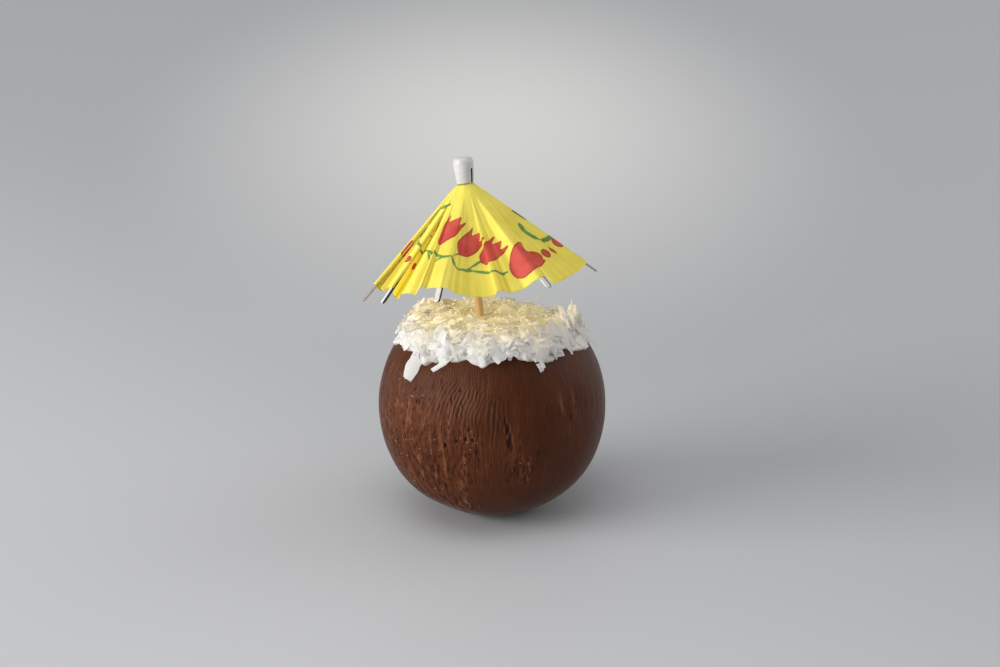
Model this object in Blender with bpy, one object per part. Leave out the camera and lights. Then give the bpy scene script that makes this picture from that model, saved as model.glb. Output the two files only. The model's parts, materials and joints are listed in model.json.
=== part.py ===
"""Round chocolate cake dressed as a small coconut, with a cream top, shredded coconut and a paper parasol.

Metres, +Z up. The origin is the centre of the flat spot that the cake stands on, and -Y is its front.
The cake, its cream and its coconut are built about the cake's own axis, which leans a little to the
back. The parasol is built about its stick, which leans back and to the left.
"""
import math
import random

import bmesh
import bpy
from mathutils import Euler, Matrix, Vector, noise

# Cake
BALL_RADIUS = 0.0350
FOOT_DEPTH = 0.0014            # how much of the ball is flattened where it stands
BALL_HEIGHT = BALL_RADIUS - FOOT_DEPTH
CAKE_LEAN = math.radians(8.0)  # the cut top faces a little to the back
CUT_ANGLE = math.radians(51.0)  # from the cake's axis to the rim of the cut top
# Where the rim of the cut top dips: azimuth, half width and depth down the ball, all in degrees
CUT_DIPS = ((180.0, 50.0, 4.2), (352.0, 45.0, 5.2))
BALL_COLUMNS = 84
BALL_ROWS = 17
RIDGE_DEPTH = 0.00095          # vertical brush ridges in the coating
SWELL_DEPTH = 0.00030          # slow unevenness of the whole ball
BELLY = (130.0, 40.0, 0.0008)  # fuller lower half: angle from the cake's axis, half width, height

GAP = 0.0003                   # between pieces that touch

# Dents in the coating: azimuth and angle from the cake's axis in degrees, half sizes and depth in metres
DENTS = (
    (277.0, 88.0, 0.0019, 0.0045, 0.0010),
    (279.0, 98.0, 0.0018, 0.0046, 0.0011),
    (258.5, 93.5, 0.0024, 0.0030, 0.0007),
    (230.0, 93.0, 0.0030, 0.0070, 0.0005),
    (236.0, 114.0, 0.0026, 0.0050, 0.0005),
    (150.0, 95.0, 0.0024, 0.0060, 0.0007),
    (58.0, 108.0, 0.0022, 0.0055, 0.0008),
    (96.0, 84.0, 0.0028, 0.0045, 0.0005),
)

# Cream
CREAM_EDGE_ANGLE = math.radians(55.5)
CREAM_TOP = 0.0266             # above the ball's centre
CREAM_LIP = 0.0009             # how far the cream's edge stands off the coating
CREAM_POWER = 3.6              # 2 would be a round dome, more is a flat top with steep sides
CREAM_TILT = (-0.05, 0.01)     # rise of the top to the right and to the back
# Places where the cream's side stands in from its edge: azimuth, half width in degrees, share of the radius
CREAM_INSETS = ((178.0, 60.0, 0.13), (352.0, 60.0, 0.22))
CREAM_COLUMNS = 60
CREAM_ARC_STEPS = 7
CREAM_BUMP = 0.00060
# Lobes of the cream's edge: azimuth, half width and reach down the ball, all in degrees
CREAM_LOBES = (
    (180.0, 15.0, 1.3), (204.0, 9.0, -0.6), (228.0, 12.0, 4.2), (247.0, 9.0, 1.2), (264.0, 10.0, 3.8),
    (281.0, 8.0, -2.4), (304.0, 12.0, 2.4), (320.0, 8.0, -2.4), (344.0, 12.0, 1.6), (10.0, 18.0, 2.2),
    (52.0, 12.0, 2.4), (83.0, 9.0, -2.0), (108.0, 13.0, 3.8), (140.0, 11.0, -1.8),
)

# Shredded coconut
COCONUT_COVER = 0.0013         # thickness of the matted layer over the cream
COCONUT_COLUMNS = 44
COCONUT_ARC_STEPS = 6
COCONUT_START = 0.24           # share of the mound's arc that the matted layer leaves bare
COCONUT_BUMP = 0.0007
# Heaps and dips of the coconut: azimuth and half width in degrees, place and half width up the mound's
# arc as shares of it, and height
COCONUT_HEAPS = (
    (350.0, 17.0, 0.46, 0.26, 0.0042), (160.0, 46.0, 0.58, 0.34, 0.0022), (40.0, 46.0, 0.60, 0.38, -0.0011),
)
SHRED_COUNT = 69
SHRED_LENGTH = (0.0065, 0.0120)
SHRED_WIDTH = (0.0015, 0.0028)
SHRED_THICKNESS = 0.0008
# Shreds that hang over the edge or stand out, each by its azimuth and angle from the cake's axis in
# degrees, height over the coating, heading (0 runs down the ball, 90 to the left), pitch away from
# the surface, roll about its own run, length and width in metres
LONG_SHREDS = (
    (219.5, 57.5, 0.0024, 15.0, -7.0, -32.0, 0.0148, 0.0044),
    (243.0, 55.0, 0.0024, 40.0, -5.0, 0.0, 0.0150, 0.0026),
    (296.0, 53.5, 0.0025, -14.0, -4.0, 0.0, 0.0110, 0.0024),
    (319.5, 51.0, 0.0026, -14.0, 0.0, 0.0, 0.0100, 0.0022),
    (351.0, 48.5, 0.0006, 0.0, 40.0, 20.0, 0.0100, 0.0028),
    (349.0, 51.5, 0.0016, -20.0, 4.0, 20.0, 0.0125, 0.0024),
    (350.0, 40.5, 0.0026, 180.0, 60.0, 80.0, 0.0090, 0.0034),
    (340.0, 37.0, 0.0024, 150.0, 54.0, 60.0, 0.0085, 0.0036),
    (358.0, 43.0, 0.0022, -150.0, 62.0, 70.0, 0.0090, 0.0036),
    (345.0, 44.0, 0.0022, 165.0, 48.0, 65.0, 0.0090, 0.0032),
    (190.0, 47.0, 0.0012, -25.0, 12.0, 0.0, 0.0110, 0.0024),
    (60.0, 57.0, 0.0022, 12.0, -4.0, 0.0, 0.0125, 0.0030),
    (118.0, 56.0, 0.0022, -15.0, -3.0, 0.0, 0.0115, 0.0024),
)

# Parasol, about its stick; the ribs' ring is this point
RIB_RING = Vector((-0.00806, 0.00919, 0.10106))
LEAN_LEFT = math.radians(6.4)
LEAN_BACK = math.radians(12.7)
RIB_RING_RADIUS = 0.0023
RIB_SLOPE = math.radians(40.8)
RIB_LENGTH = 0.0460
RIB_AZIMUTHS = (201.5, 220.5, 251.8, 306.2, 355.5, 407.0, 458.5, 510.0)
RIB_START = 0.0060             # from the cone's tip, along the slope
RIB_HALF_WIDTH = 0.00095
RIB_TAPER = 0.09               # half width over distance from the cone's tip, near the middle
RIB_THICKNESS = 0.0006
PAPER_START = 0.0036
PAPER_RADIUS = 0.0439
PAPER_THICKNESS = 0.0004
PAPER_OFFSET = 0.0008          # paper over the middle of the ribs
# Creases of the paper between two ribs: how far across the gore, and extra slope in degrees. A share
# under 0 is a fold that tucks back under the first rib.
PAPER_CREASES = (
    ((0.03, 3.4), (0.20, 4.4), (0.38, 1.6), (0.60, 3.2), (0.82, 0.2)),
    ((-0.12, 8.2), (-0.02, 7.0), (0.10, 3.8), (0.33, 3.1), (0.43, 4.7), (0.74, -1.9), (0.82, 0.8)),
    ((0.06, 1.0), (0.12, 4.3), (0.32, 7.0), (0.54, 7.5), (0.565, 5.0), (0.72, 6.4), (0.895, 4.4)),
    ((0.07, 2.8), (0.18, 5.1), (0.27, 6.0), (0.41, 4.6), (0.57, 3.9), (0.73, 1.8), (0.88, 3.8)),
    ((0.12, 3.0), (0.25, 1.2), (0.38, 4.6), (0.52, 3.4), (0.66, 6.0), (0.79, 3.0), (0.90, 2.6)),
    ((0.10, 2.2), (0.24, 5.2), (0.36, 4.0), (0.50, 7.2), (0.62, 5.0), (0.76, 4.8), (0.89, 1.4)),
    ((0.11, 3.4), (0.22, 3.0), (0.37, 6.4), (0.48, 4.2), (0.64, 5.0), (0.77, 1.8), (0.90, 2.6)),
    ((0.12, 1.4), (0.23, 4.2), (0.40, 5.8), (0.55, 7.4), (0.66, 5.2), (0.80, 4.6), (0.91, 1.6)),
)
FOLD_START = 0.0080
FOLD_FULL = 0.0190
PAPER_RADII = (PAPER_START, 0.0080, 0.0135, 0.0200, 0.0310, PAPER_RADIUS)
PAPER_SHIFT = 0.0013           # the paper disc sits this far off its ribs' centre
PAPER_SHIFT_AZIMUTH = math.radians(325.0)
STICK_RADIUS = 0.0012
STICK_LENGTH = 0.1000
STICK_ABOVE = 0.0062           # stick over the ribs' ring
STICK_POINT = 0.0060
BORE_RADIUS = STICK_RADIUS + GAP
CAP_BOTTOM = 0.0005
CAP_HEIGHT = 0.0079
SLIT_AZIMUTH = math.radians(327.0)
SLIT_WIDTH = 0.0006
SLIT_HEIGHT = 0.0044
SLIT_DEPTH = 0.0010
HUB_RADIUS = 0.0039
HUB_TOP = -0.0017
HUB_HEIGHT = 0.0026
RUNNER_RADIUS = 0.0032
RUNNER_TOP = -0.0210
RUNNER_HEIGHT = 0.0070
RING_SIDES = 16
CAP_SIDES = 20
STRETCHER_REACH = 0.0220       # where it meets its rib, from the cone's tip
STRETCHER_WIDTHS = (0.0004, 0.0006)
STRETCHER_THICKNESS = 0.0005
STRETCHER_FOOT = Vector((0.0037, 0.0, -0.0225))

CONE_TIP = Vector((0.0, 0.0, RIB_RING_RADIUS * math.tan(RIB_SLOPE)))


# ---------------------------------------------------------------- helpers

def clear_scene():
    for item in list(bpy.data.objects):
        bpy.data.objects.remove(item, do_unlink=True)


def make_material(name, colour, roughness, metallic=0.0):
    material = bpy.data.materials.new(name)
    material.use_nodes = True
    shader = material.node_tree.nodes["Principled BSDF"]
    shader.inputs["Base Color"].default_value = (*colour, 1.0)
    shader.inputs["Roughness"].default_value = roughness
    shader.inputs["Metallic"].default_value = metallic
    return material


def add_object(name, shape, material=None, parent=None, collection=None):
    """Turn a bmesh into a named object."""
    bmesh.ops.recalc_face_normals(shape, faces=shape.faces)
    mesh = bpy.data.meshes.new(name)
    shape.to_mesh(mesh)
    shape.free()
    mesh.shade_smooth()
    mesh.set_sharp_from_angle(angle=math.radians(35.0))
    item = bpy.data.objects.new(name, mesh)
    (collection or bpy.context.scene.collection).objects.link(item)
    if material:
        mesh.materials.append(material)
    if parent:
        item.parent = parent
    return item


def add_empty(name, place, turn):
    empty = bpy.data.objects.new(name, None)
    empty.location = place
    empty.rotation_euler = turn
    bpy.context.scene.collection.objects.link(empty)
    return empty


def loft(rings, first_point=None, last_point=None):
    """Close a body round a stack of rings; its ends are flat faces, or fans to a point."""
    shape = bmesh.new()
    loops = [[shape.verts.new(point) for point in ring] for ring in rings]
    for lower, upper in zip(loops, loops[1:]):
        for index in range(len(lower)):
            after = (index + 1) % len(lower)
            shape.faces.new((lower[index], lower[after], upper[after], upper[index]))
    close_end(shape, loops[0], first_point)
    close_end(shape, loops[-1], last_point)
    return shape


def close_end(shape, loop, point):
    if point is None:
        shape.faces.new(loop)
        return
    tip = shape.verts.new(point)
    for index in range(len(loop)):
        shape.faces.new((loop[index], loop[(index + 1) % len(loop)], tip))


def turned(profile, sides):
    """Turn a closed outline of (radius, height) pairs into a ring."""
    shape = bmesh.new()
    loops = []
    for step in range(sides):
        angle = 2.0 * math.pi * step / sides
        loops.append([shape.verts.new((radius * math.cos(angle), radius * math.sin(angle), height))
                      for radius, height in profile])
    for step in range(sides):
        near, far = loops[step], loops[(step + 1) % sides]
        for index in range(len(profile)):
            after = (index + 1) % len(profile)
            shape.faces.new((near[index], near[after], far[after], far[index]))
    return shape


def turned_solid(profile, sides):
    """Turn an open outline, whose ends both lie on the axis, into a solid."""
    rings = [[Vector((radius * math.cos(2.0 * math.pi * step / sides),
                      radius * math.sin(2.0 * math.pi * step / sides), height))
              for step in range(sides)] for radius, height in profile[1:-1]]
    return loft(rings, Vector((0.0, 0.0, profile[0][1])), Vector((0.0, 0.0, profile[-1][1])))


def hide_helper(item):
    item.hide_render = True
    item.display_type = "WIRE"


def subtract(item, cutter):
    modifier = item.modifiers.new("cut by " + cutter.name, "BOOLEAN")
    modifier.operation = "DIFFERENCE"
    modifier.solver = "EXACT"
    modifier.object = cutter


def combine(item, group, operation, solver):
    """Join all of a collection's objects to an object, or cut them from it, in one step."""
    modifier = item.modifiers.new(operation.lower() + " " + group.name, "BOOLEAN")
    modifier.operation = operation
    modifier.solver = solver
    modifier.operand_type = "COLLECTION"
    modifier.collection = group
    apply_modifiers(item)


def remove_group(group):
    for item in list(group.objects):
        bpy.data.objects.remove(item, do_unlink=True)
    bpy.data.collections.remove(group)


def add_group(name):
    group = bpy.data.collections.new(name)
    bpy.context.scene.collection.children.link(group)
    return group


def apply_modifiers(item):
    """Replace an object's mesh with what its modifiers make of it."""
    bpy.context.view_layer.update()
    graph = bpy.context.evaluated_depsgraph_get()
    made = bpy.data.meshes.new_from_object(item.evaluated_get(graph))
    item.modifiers.clear()
    old = item.data
    item.data = made
    made.name = item.name
    bpy.data.meshes.remove(old)


def keep_largest_piece(item):
    """Drop the loose scraps that a cut leaves."""
    shape = bmesh.new()
    shape.from_mesh(item.data)
    groups = []
    left = set(shape.verts)
    while left:
        group = {left.pop()}
        front = list(group)
        while front:
            for edge in front.pop().link_edges:
                for vert in edge.verts:
                    if vert not in group:
                        group.add(vert)
                        left.discard(vert)
                        front.append(vert)
        groups.append(group)
    groups.sort(key=len)
    for group in groups[:-1]:
        bmesh.ops.delete(shape, geom=list(group), context="VERTS")
    bmesh.ops.triangulate(shape, faces=shape.faces)
    shape.to_mesh(item.data)
    shape.free()


def bump(angle, centre, half_width):
    """A smooth hill, 1 at its centre and 0 from its half width out, on a circle in degrees."""
    away = abs((angle - centre + 180.0) % 360.0 - 180.0) / half_width
    return 0.5 + 0.5 * math.cos(math.pi * away) if away < 1.0 else 0.0


def cake_direction(azimuth, angle):
    return Vector((math.cos(azimuth) * math.sin(angle), math.sin(azimuth) * math.sin(angle), math.cos(angle)))


# ---------------------------------------------------------------- cake

def coating_relief(azimuth, angle, column):
    """How far the coating stands above or below the round ball."""
    way = cake_direction(azimuth, angle)
    draw = random.Random(1000 + column % BALL_COLUMNS)
    ridge = draw.uniform(-0.5, 0.5)
    run = 0.55 + 0.45 * noise.noise(Vector((azimuth * 4.0, angle * 2.2, 3.7)))
    fade = math.sin(angle) ** 2
    height = RIDGE_DEPTH * ridge * run * fade + SWELL_DEPTH * noise.noise(way * 2.6)
    for dent_azimuth, dent_angle, half_width, half_height, depth in DENTS:
        across = (math.degrees(azimuth) - dent_azimuth + 180.0) % 360.0 - 180.0
        across = math.radians(across) * math.sin(angle) * BALL_RADIUS / half_width
        along = (angle - math.radians(dent_angle)) * BALL_RADIUS / half_height
        height -= depth * math.exp(-(across * across + along * along))
    middle, half_width, belly = BELLY
    return height + belly * bump(math.degrees(angle), middle, half_width)


def to_world(point):
    return Matrix.Rotation(-CAKE_LEAN, 3, "X") @ point + Vector((0.0, 0.0, BALL_HEIGHT))


def to_cake(point):
    return Matrix.Rotation(CAKE_LEAN, 3, "X") @ (point - Vector((0.0, 0.0, BALL_HEIGHT)))


def flatten_foot(point, lift):
    """Press a point of the ball that would reach through the table up to it."""
    world = to_world(point)
    if world.z < lift:
        world.z = lift
    return to_cake(world)


def cut_angle(azimuth):
    dips = sum(depth * bump(math.degrees(azimuth), centre, half_width) for centre, half_width, depth in CUT_DIPS)
    return CUT_ANGLE + math.radians(dips)


def ball_shape(extra=0.0):
    """The ball with its top cut off; extra makes it larger all round, for clearances."""
    rings = []
    for row in range(BALL_ROWS):
        ring = []
        for column in range(BALL_COLUMNS):
            azimuth = 2.0 * math.pi * column / BALL_COLUMNS
            cut = cut_angle(azimuth)
            angle = cut + (math.pi - cut) * row / BALL_ROWS
            radius = BALL_RADIUS + coating_relief(azimuth, angle, column) + extra
            ring.append(flatten_foot(cake_direction(azimuth, angle) * radius, -extra))
            if row == 0:
                ring[-1].z = BALL_RADIUS * math.cos(cut) + extra
        rings.append(ring)
    pole = flatten_foot(Vector((0.0, 0.0, -BALL_RADIUS - extra)), -extra)
    return loft(rings, Vector((0.0, 0.0, BALL_RADIUS * math.cos(CUT_ANGLE) + extra)), pole)


def build_ball(parent, clearances):
    material = make_material("milk_chocolate", (0.115, 0.048, 0.026), 0.42)
    ball = add_object("chocolate_cake_ball", ball_shape(), material, parent)
    combine(ball, clearances, "DIFFERENCE", "EXACT")


# ---------------------------------------------------------------- cream

def cream_edge(azimuth):
    """Radius and height of the cream's edge, which runs down the ball in lobes."""
    angle = math.degrees(CREAM_EDGE_ANGLE)
    for centre, half_width, reach in CREAM_LOBES:
        angle += reach * bump(math.degrees(azimuth), centre, half_width)
    angle = math.radians(angle)
    reach = BALL_RADIUS + CREAM_LIP
    return reach * math.sin(angle), reach * math.cos(angle)


def mound_point(azimuth, rise, swell, bumps, scale):
    """A point of a rounded mound over the cream's edge: rise runs from 0 at the edge to 1 on top."""
    radius, base = cream_edge(azimuth)
    arc = rise * math.pi / 2.0
    up = max(math.sin(arc), 0.0) ** (2.0 / CREAM_POWER)
    radius *= max(math.cos(arc), 0.0) ** (2.0 / CREAM_POWER)
    for centre, half_width, share in CREAM_INSETS:
        radius *= 1.0 - share * bump(math.degrees(azimuth), centre, half_width) * (1.0 - (1.0 - up) ** 3)
    point = Vector((radius * math.cos(azimuth), radius * math.sin(azimuth), base + (CREAM_TOP - base) * up))
    point.z += up * (CREAM_TILT[0] * point.x + CREAM_TILT[1] * point.y)
    outward = Vector((math.cos(arc) * math.cos(azimuth), math.cos(arc) * math.sin(azimuth), math.sin(arc)))
    uneven = noise.noise(point * scale) + 0.5 * noise.noise(point * scale * 2.1)
    return point + outward * (swell + bumps * uneven)


def cream_shape(extra=0.0):
    rings = []
    for step in range(CREAM_ARC_STEPS):
        rise = step / CREAM_ARC_STEPS
        rings.append([mound_point(2.0 * math.pi * column / CREAM_COLUMNS, rise, extra, CREAM_BUMP, 190.0)
                      for column in range(CREAM_COLUMNS)])
    lip = [Vector((point.x * 0.965, point.y * 0.965, point.z - 0.0010 - extra)) for point in rings[0]]
    root = [Vector((point.x * 0.80, point.y * 0.80, point.z - 0.0022 - extra)) for point in rings[0]]
    top = mound_point(0.0, 1.0, extra, CREAM_BUMP, 190.0)
    return loft([root, lip] + rings, Vector((0.0, 0.0, 0.0120)), top)


def build_cream(parent, clearances):
    material = make_material("whipped_cream", (0.86, 0.84, 0.79), 0.45)
    cream = add_object("whipped_cream", cream_shape(), material, parent)
    combine(cream, clearances, "DIFFERENCE", "EXACT")
    keep_largest_piece(cream)


# ---------------------------------------------------------------- shredded coconut

def coconut_point(azimuth, rise, lift=0.0):
    """A point of the matted layer, with its heaps and dips."""
    cover = COCONUT_COVER
    for centre, half_width, middle, half_rise, height in COCONUT_HEAPS:
        up = min(abs(rise - middle) / half_rise, 1.0)
        cover += height * bump(math.degrees(azimuth), centre, half_width) * (0.5 + 0.5 * math.cos(math.pi * up))
    return mound_point(azimuth, rise, cover + lift, COCONUT_BUMP, 260.0)


def coconut_core_shape():
    """The matted layer of coconut, as a mound a little larger than the cream."""
    rings = []
    for step in range(COCONUT_ARC_STEPS):
        rise = COCONUT_START + (1.0 - COCONUT_START) * step / COCONUT_ARC_STEPS
        ring = []
        for column in range(COCONUT_COLUMNS):
            azimuth = 2.0 * math.pi * column / COCONUT_COLUMNS
            start = 0.05 * noise.noise(Vector((3.0 * math.cos(azimuth), 3.0 * math.sin(azimuth), 9.1)))
            ring.append(coconut_point(azimuth, max(rise + start * (1.0 - step / COCONUT_ARC_STEPS), 0.0)))
        rings.append(ring)
    root = [Vector((point.x * 0.86, point.y * 0.86, point.z - 0.0010)) for point in rings[0]]
    return loft([root] + rings, Vector((0.0, 0.0, 0.0180)), coconut_point(0.0, 1.0))


def shred_shape(middle, along, out, length, width, thickness, curl):
    """A short curved strip: along is its run, out points away from what it lies on."""
    side = along.cross(out).normalized()
    out = side.cross(along).normalized()
    rings = []
    for step in (-1.0, 0.0, 1.0):
        centre = middle + along * (length * 0.5 * step) - out * (curl * length * step * step)
        half = width * 0.5 * (1.0 - 0.30 * step * step)
        rings.append([centre - side * half, centre - out * (thickness * 0.5),
                      centre + side * half, centre + out * (thickness * 0.5)])
    return loft(rings)


def surface_frame(azimuth, angle):
    out = cake_direction(azimuth, angle)
    down = cake_direction(azimuth, angle + math.pi / 2.0)
    return out, down, down.cross(out)


def scattered_shreds():
    """Shreds spread evenly over the mound by the golden angle, turned and pitched at random."""
    draw = random.Random(52)
    golden = math.pi * (3.0 - math.sqrt(5.0))
    shreds = []
    for index in range(SHRED_COUNT):
        azimuth = index * golden + draw.uniform(-0.2, 0.2)
        rise = 1.0 - (1.0 - COCONUT_START) * math.sqrt((index + 0.5) / SHRED_COUNT)
        middle = coconut_point(azimuth, rise, 0.0003)
        arc = rise * math.pi / 2.0
        out = Vector((math.cos(arc) * math.cos(azimuth), math.cos(arc) * math.sin(azimuth),
                      math.sin(arc) + 0.15)).normalized()
        any_way = Vector((draw.uniform(-1, 1), draw.uniform(-1, 1), draw.uniform(-0.35, 0.35)))
        along = (any_way - out * any_way.dot(out)).normalized()
        pitch = math.radians(draw.choice((0.0, 4.0, 8.0, 14.0, 26.0)))
        along = along * math.cos(pitch) + out * math.sin(pitch)
        shreds.append(shred_shape(middle, along, out, draw.uniform(*SHRED_LENGTH), draw.uniform(*SHRED_WIDTH),
                                  SHRED_THICKNESS, draw.uniform(0.03, 0.12)))
    return shreds


def long_shreds():
    """The few shreds that hang over the coating or stand out of the mound."""
    shreds = []
    for azimuth, angle, height, heading, pitch, roll, length, width in LONG_SHREDS:
        out, down, left = surface_frame(math.radians(azimuth), math.radians(angle))
        heading = math.radians(heading)
        pitch = math.radians(pitch)
        along = (down * math.cos(heading) + left * math.sin(heading)) * math.cos(pitch) + out * math.sin(pitch)
        middle = out * (BALL_RADIUS + height)
        face = Matrix.Rotation(math.radians(roll), 3, along) @ out
        shreds.append(shred_shape(middle, along, face, length, width, SHRED_THICKNESS, 0.05))
    return shreds


def build_coconut(parent, clearances):
    material = make_material("shredded_coconut", (0.85, 0.80, 0.62), 0.50)
    coconut = add_object("shredded_coconut", coconut_core_shape(), material, parent)
    shreds = add_group("shreds")
    for index, shape in enumerate(scattered_shreds() + long_shreds()):
        add_object("shred_%d" % index, shape, None, parent, shreds)
    combine(coconut, shreds, "UNION", "EXACT")
    remove_group(shreds)
    combine(coconut, clearances, "DIFFERENCE", "MANIFOLD")
    keep_largest_piece(coconut)


# ---------------------------------------------------------------- parasol

def cone_point(azimuth, slope, reach, offset=0.0):
    """A point of the parasol's cone: reach is the distance from its tip, offset stands off the rib slope."""
    out = Vector((math.cos(azimuth), math.sin(azimuth), 0.0))
    point = CONE_TIP + out * (reach * math.cos(slope))
    point.z -= reach * math.sin(slope)
    return point + (out * math.sin(RIB_SLOPE) + Vector((0.0, 0.0, math.cos(RIB_SLOPE)))) * offset


def rib_half_width(reach):
    return min(RIB_HALF_WIDTH, RIB_TAPER * reach)


def paper_columns(reach):
    """Azimuth and slope of each crease round the parasol, at a distance from the cone's tip."""
    columns = []
    open_up = min(max((reach - FOLD_START) / (FOLD_FULL - FOLD_START), 0.0), 1.0)
    for index, start in enumerate(RIB_AZIMUTHS):
        end = RIB_AZIMUTHS[index + 1] if index + 1 < len(RIB_AZIMUTHS) else RIB_AZIMUTHS[0] + 360.0
        width = math.radians(end - start)
        land = min((rib_half_width(reach) + 0.0005) / (reach * math.cos(RIB_SLOPE)), 0.3 * width)
        for share, extra in ((0.0, 0.0),) + PAPER_CREASES[index] + ((1.0, 0.0),):
            azimuth = math.radians(start) + land + (width - 2.0 * land) * share
            columns.append((azimuth, RIB_SLOPE + math.radians(extra) * open_up))
    return columns


def canopy_shape():
    shape = bmesh.new()
    over, under = [], []
    lift = Vector((0.0, 0.0, PAPER_THICKNESS / 2.0))
    for reach in PAPER_RADII:
        shift = PAPER_SHIFT * (reach - PAPER_START) / (PAPER_RADIUS - PAPER_START)
        points = [cone_point(azimuth, slope, reach + shift * math.cos(azimuth - PAPER_SHIFT_AZIMUTH),
                             PAPER_OFFSET / 2.0) for azimuth, slope in paper_columns(reach)]
        over.append([shape.verts.new(point + lift) for point in points])
        under.append([shape.verts.new(point - lift) for point in points])
    count = len(over[0])
    for index in range(count):
        after = (index + 1) % count
        for row in range(len(PAPER_RADII) - 1):
            shape.faces.new((over[row][index], over[row][after], over[row + 1][after], over[row + 1][index]))
            shape.faces.new((under[row][after], under[row][index], under[row + 1][index],
                             under[row + 1][after]))
        for row in (0, -1):
            shape.faces.new((over[row][index], over[row][after], under[row][after], under[row][index]))
    return shape


def strip_between(stations, thickness):
    """A flat strip through stations of (point, half width, width direction, thickness direction)."""
    rings = []
    for point, half, side, face in stations:
        rings.append([point - side * half - face * thickness / 2.0, point + side * half - face * thickness / 2.0,
                      point + side * half + face * thickness / 2.0, point - side * half + face * thickness / 2.0])
    return loft(rings)


def rib_shape(azimuth):
    side = Vector((-math.sin(azimuth), math.cos(azimuth), 0.0))
    face = cone_point(azimuth, RIB_SLOPE, 0.01, 1.0) - cone_point(azimuth, RIB_SLOPE, 0.01)
    stations = []
    tip = RIB_RING_RADIUS / math.cos(RIB_SLOPE) + RIB_LENGTH
    for reach in (RIB_START, RIB_HALF_WIDTH / RIB_TAPER, tip):
        stations.append((cone_point(azimuth, RIB_SLOPE, reach, -PAPER_OFFSET / 2.0), rib_half_width(reach),
                         side, face))
    return strip_between(stations, RIB_THICKNESS)


def stretcher_shape(azimuth):
    turn = Matrix.Rotation(azimuth, 3, "Z")
    side = turn @ Vector((0.0, 1.0, 0.0))
    start = turn @ STRETCHER_FOOT
    below = PAPER_OFFSET / 2.0 + RIB_THICKNESS / 2.0 + GAP + 0.7 * STRETCHER_THICKNESS
    end = cone_point(azimuth, RIB_SLOPE, STRETCHER_REACH, -below)
    face = side.cross((end - start).normalized())
    return strip_between([(start, STRETCHER_WIDTHS[0], side, face), (end, STRETCHER_WIDTHS[1], side, face)],
                         STRETCHER_THICKNESS)


def stick_profile(extra=0.0):
    top = STICK_ABOVE + extra
    bottom = STICK_ABOVE - STICK_LENGTH - extra
    radius = STICK_RADIUS + extra
    return [(0.0, bottom), (0.35 * radius, bottom), (radius, bottom + STICK_POINT), (radius, top), (0.0, top)]


def cap_profile():
    """The cap's outline: a tube with a rounded closed top and a bore for the stick."""
    bottom = CAP_BOTTOM
    top = CAP_BOTTOM + CAP_HEIGHT
    return [(0.0, STICK_ABOVE + GAP), (BORE_RADIUS, STICK_ABOVE + GAP), (BORE_RADIUS, bottom),
            (0.00255, bottom), (0.00285, bottom + 0.0022), (0.00312, top - 0.0028),
            (0.00302, top - 0.0012), (0.00262, top - 0.00035), (0.00150, top), (0.0, top)]


def slit_shape():
    shape = bmesh.new()
    bmesh.ops.create_cube(shape, size=1.0)
    place = Matrix.Rotation(SLIT_AZIMUTH, 4, "Z")
    place = place @ Matrix.Translation((0.0032, 0.0, CAP_BOTTOM + SLIT_HEIGHT / 2.0 - 0.001))
    size = Matrix.Diagonal((2.0 * SLIT_DEPTH, SLIT_WIDTH, SLIT_HEIGHT + 0.002, 1.0))
    bmesh.ops.transform(shape, matrix=place @ size, verts=shape.verts)
    return shape


def ring_profile(outer, top, height, rounding):
    return [(BORE_RADIUS, top - height), (outer - rounding, top - height), (outer, top - height + rounding),
            (outer, top - rounding), (outer - rounding, top), (BORE_RADIUS, top)]


def build_parasol(parent):
    paper = make_material("yellow_paper", (0.80, 0.64, 0.09), 0.60)
    card = make_material("white_card", (0.78, 0.77, 0.74), 0.55)
    wood = make_material("pale_wood", (0.66, 0.43, 0.21), 0.60)
    rib_wood = make_material("rib_wood", (0.52, 0.47, 0.40), 0.60)
    add_object("parasol_canopy", canopy_shape(), paper, parent)
    add_object("parasol_stick", turned_solid(stick_profile(), 12), wood, parent)
    add_object("parasol_hub", turned(ring_profile(HUB_RADIUS, HUB_TOP, HUB_HEIGHT, 0.0003), RING_SIDES), card, parent)
    add_object("parasol_runner", turned(ring_profile(RUNNER_RADIUS, RUNNER_TOP, RUNNER_HEIGHT, 0.0004), RING_SIDES),
               card, parent)
    cap = add_object("parasol_cap", turned_solid(cap_profile(), CAP_SIDES), card, parent)
    slit = add_object("cap_slit_cutter", slit_shape(), None, parent)
    hide_helper(slit)
    subtract(cap, slit)
    for index, azimuth in enumerate(RIB_AZIMUTHS):
        angle = math.radians(azimuth)
        add_object("parasol_rib_%d" % (index + 1), rib_shape(angle), rib_wood, parent)
        add_object("parasol_stretcher_%d" % (index + 1), stretcher_shape(angle), card, parent)


def parasol_turn():
    """Turn whose Z runs up the stick, and whose X stays level with the world's."""
    up = Vector((-math.tan(LEAN_LEFT), math.tan(LEAN_BACK), 1.0)).normalized()
    across = (Vector((1.0, 0.0, 0.0)) - up * up.x).normalized()
    back = up.cross(across)
    return Matrix((across, back, up)).transposed().to_euler()


# ---------------------------------------------------------------- whole

def build():
    clear_scene()
    cake_axis = add_empty("cake_axis", (0.0, 0.0, BALL_HEIGHT), Euler((-CAKE_LEAN, 0.0, 0.0)))
    stick_axis = add_empty("stick_axis", RIB_RING, parasol_turn())

    clearances = add_group("clearances")
    stick_room = turned_solid(stick_profile(GAP), 12)
    add_object("stick_clearance", stick_room, None, stick_axis, clearances)
    build_ball(cake_axis, clearances)
    add_object("ball_clearance", ball_shape(GAP), None, cake_axis, clearances)
    build_cream(cake_axis, clearances)
    add_object("cream_clearance", cream_shape(GAP), None, cake_axis, clearances)
    build_coconut(cake_axis, clearances)
    remove_group(clearances)
    build_parasol(stick_axis)


build()
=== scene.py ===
import json
import math
import random

import bmesh
import bpy
import numpy as np
from mathutils import Matrix, Vector

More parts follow.
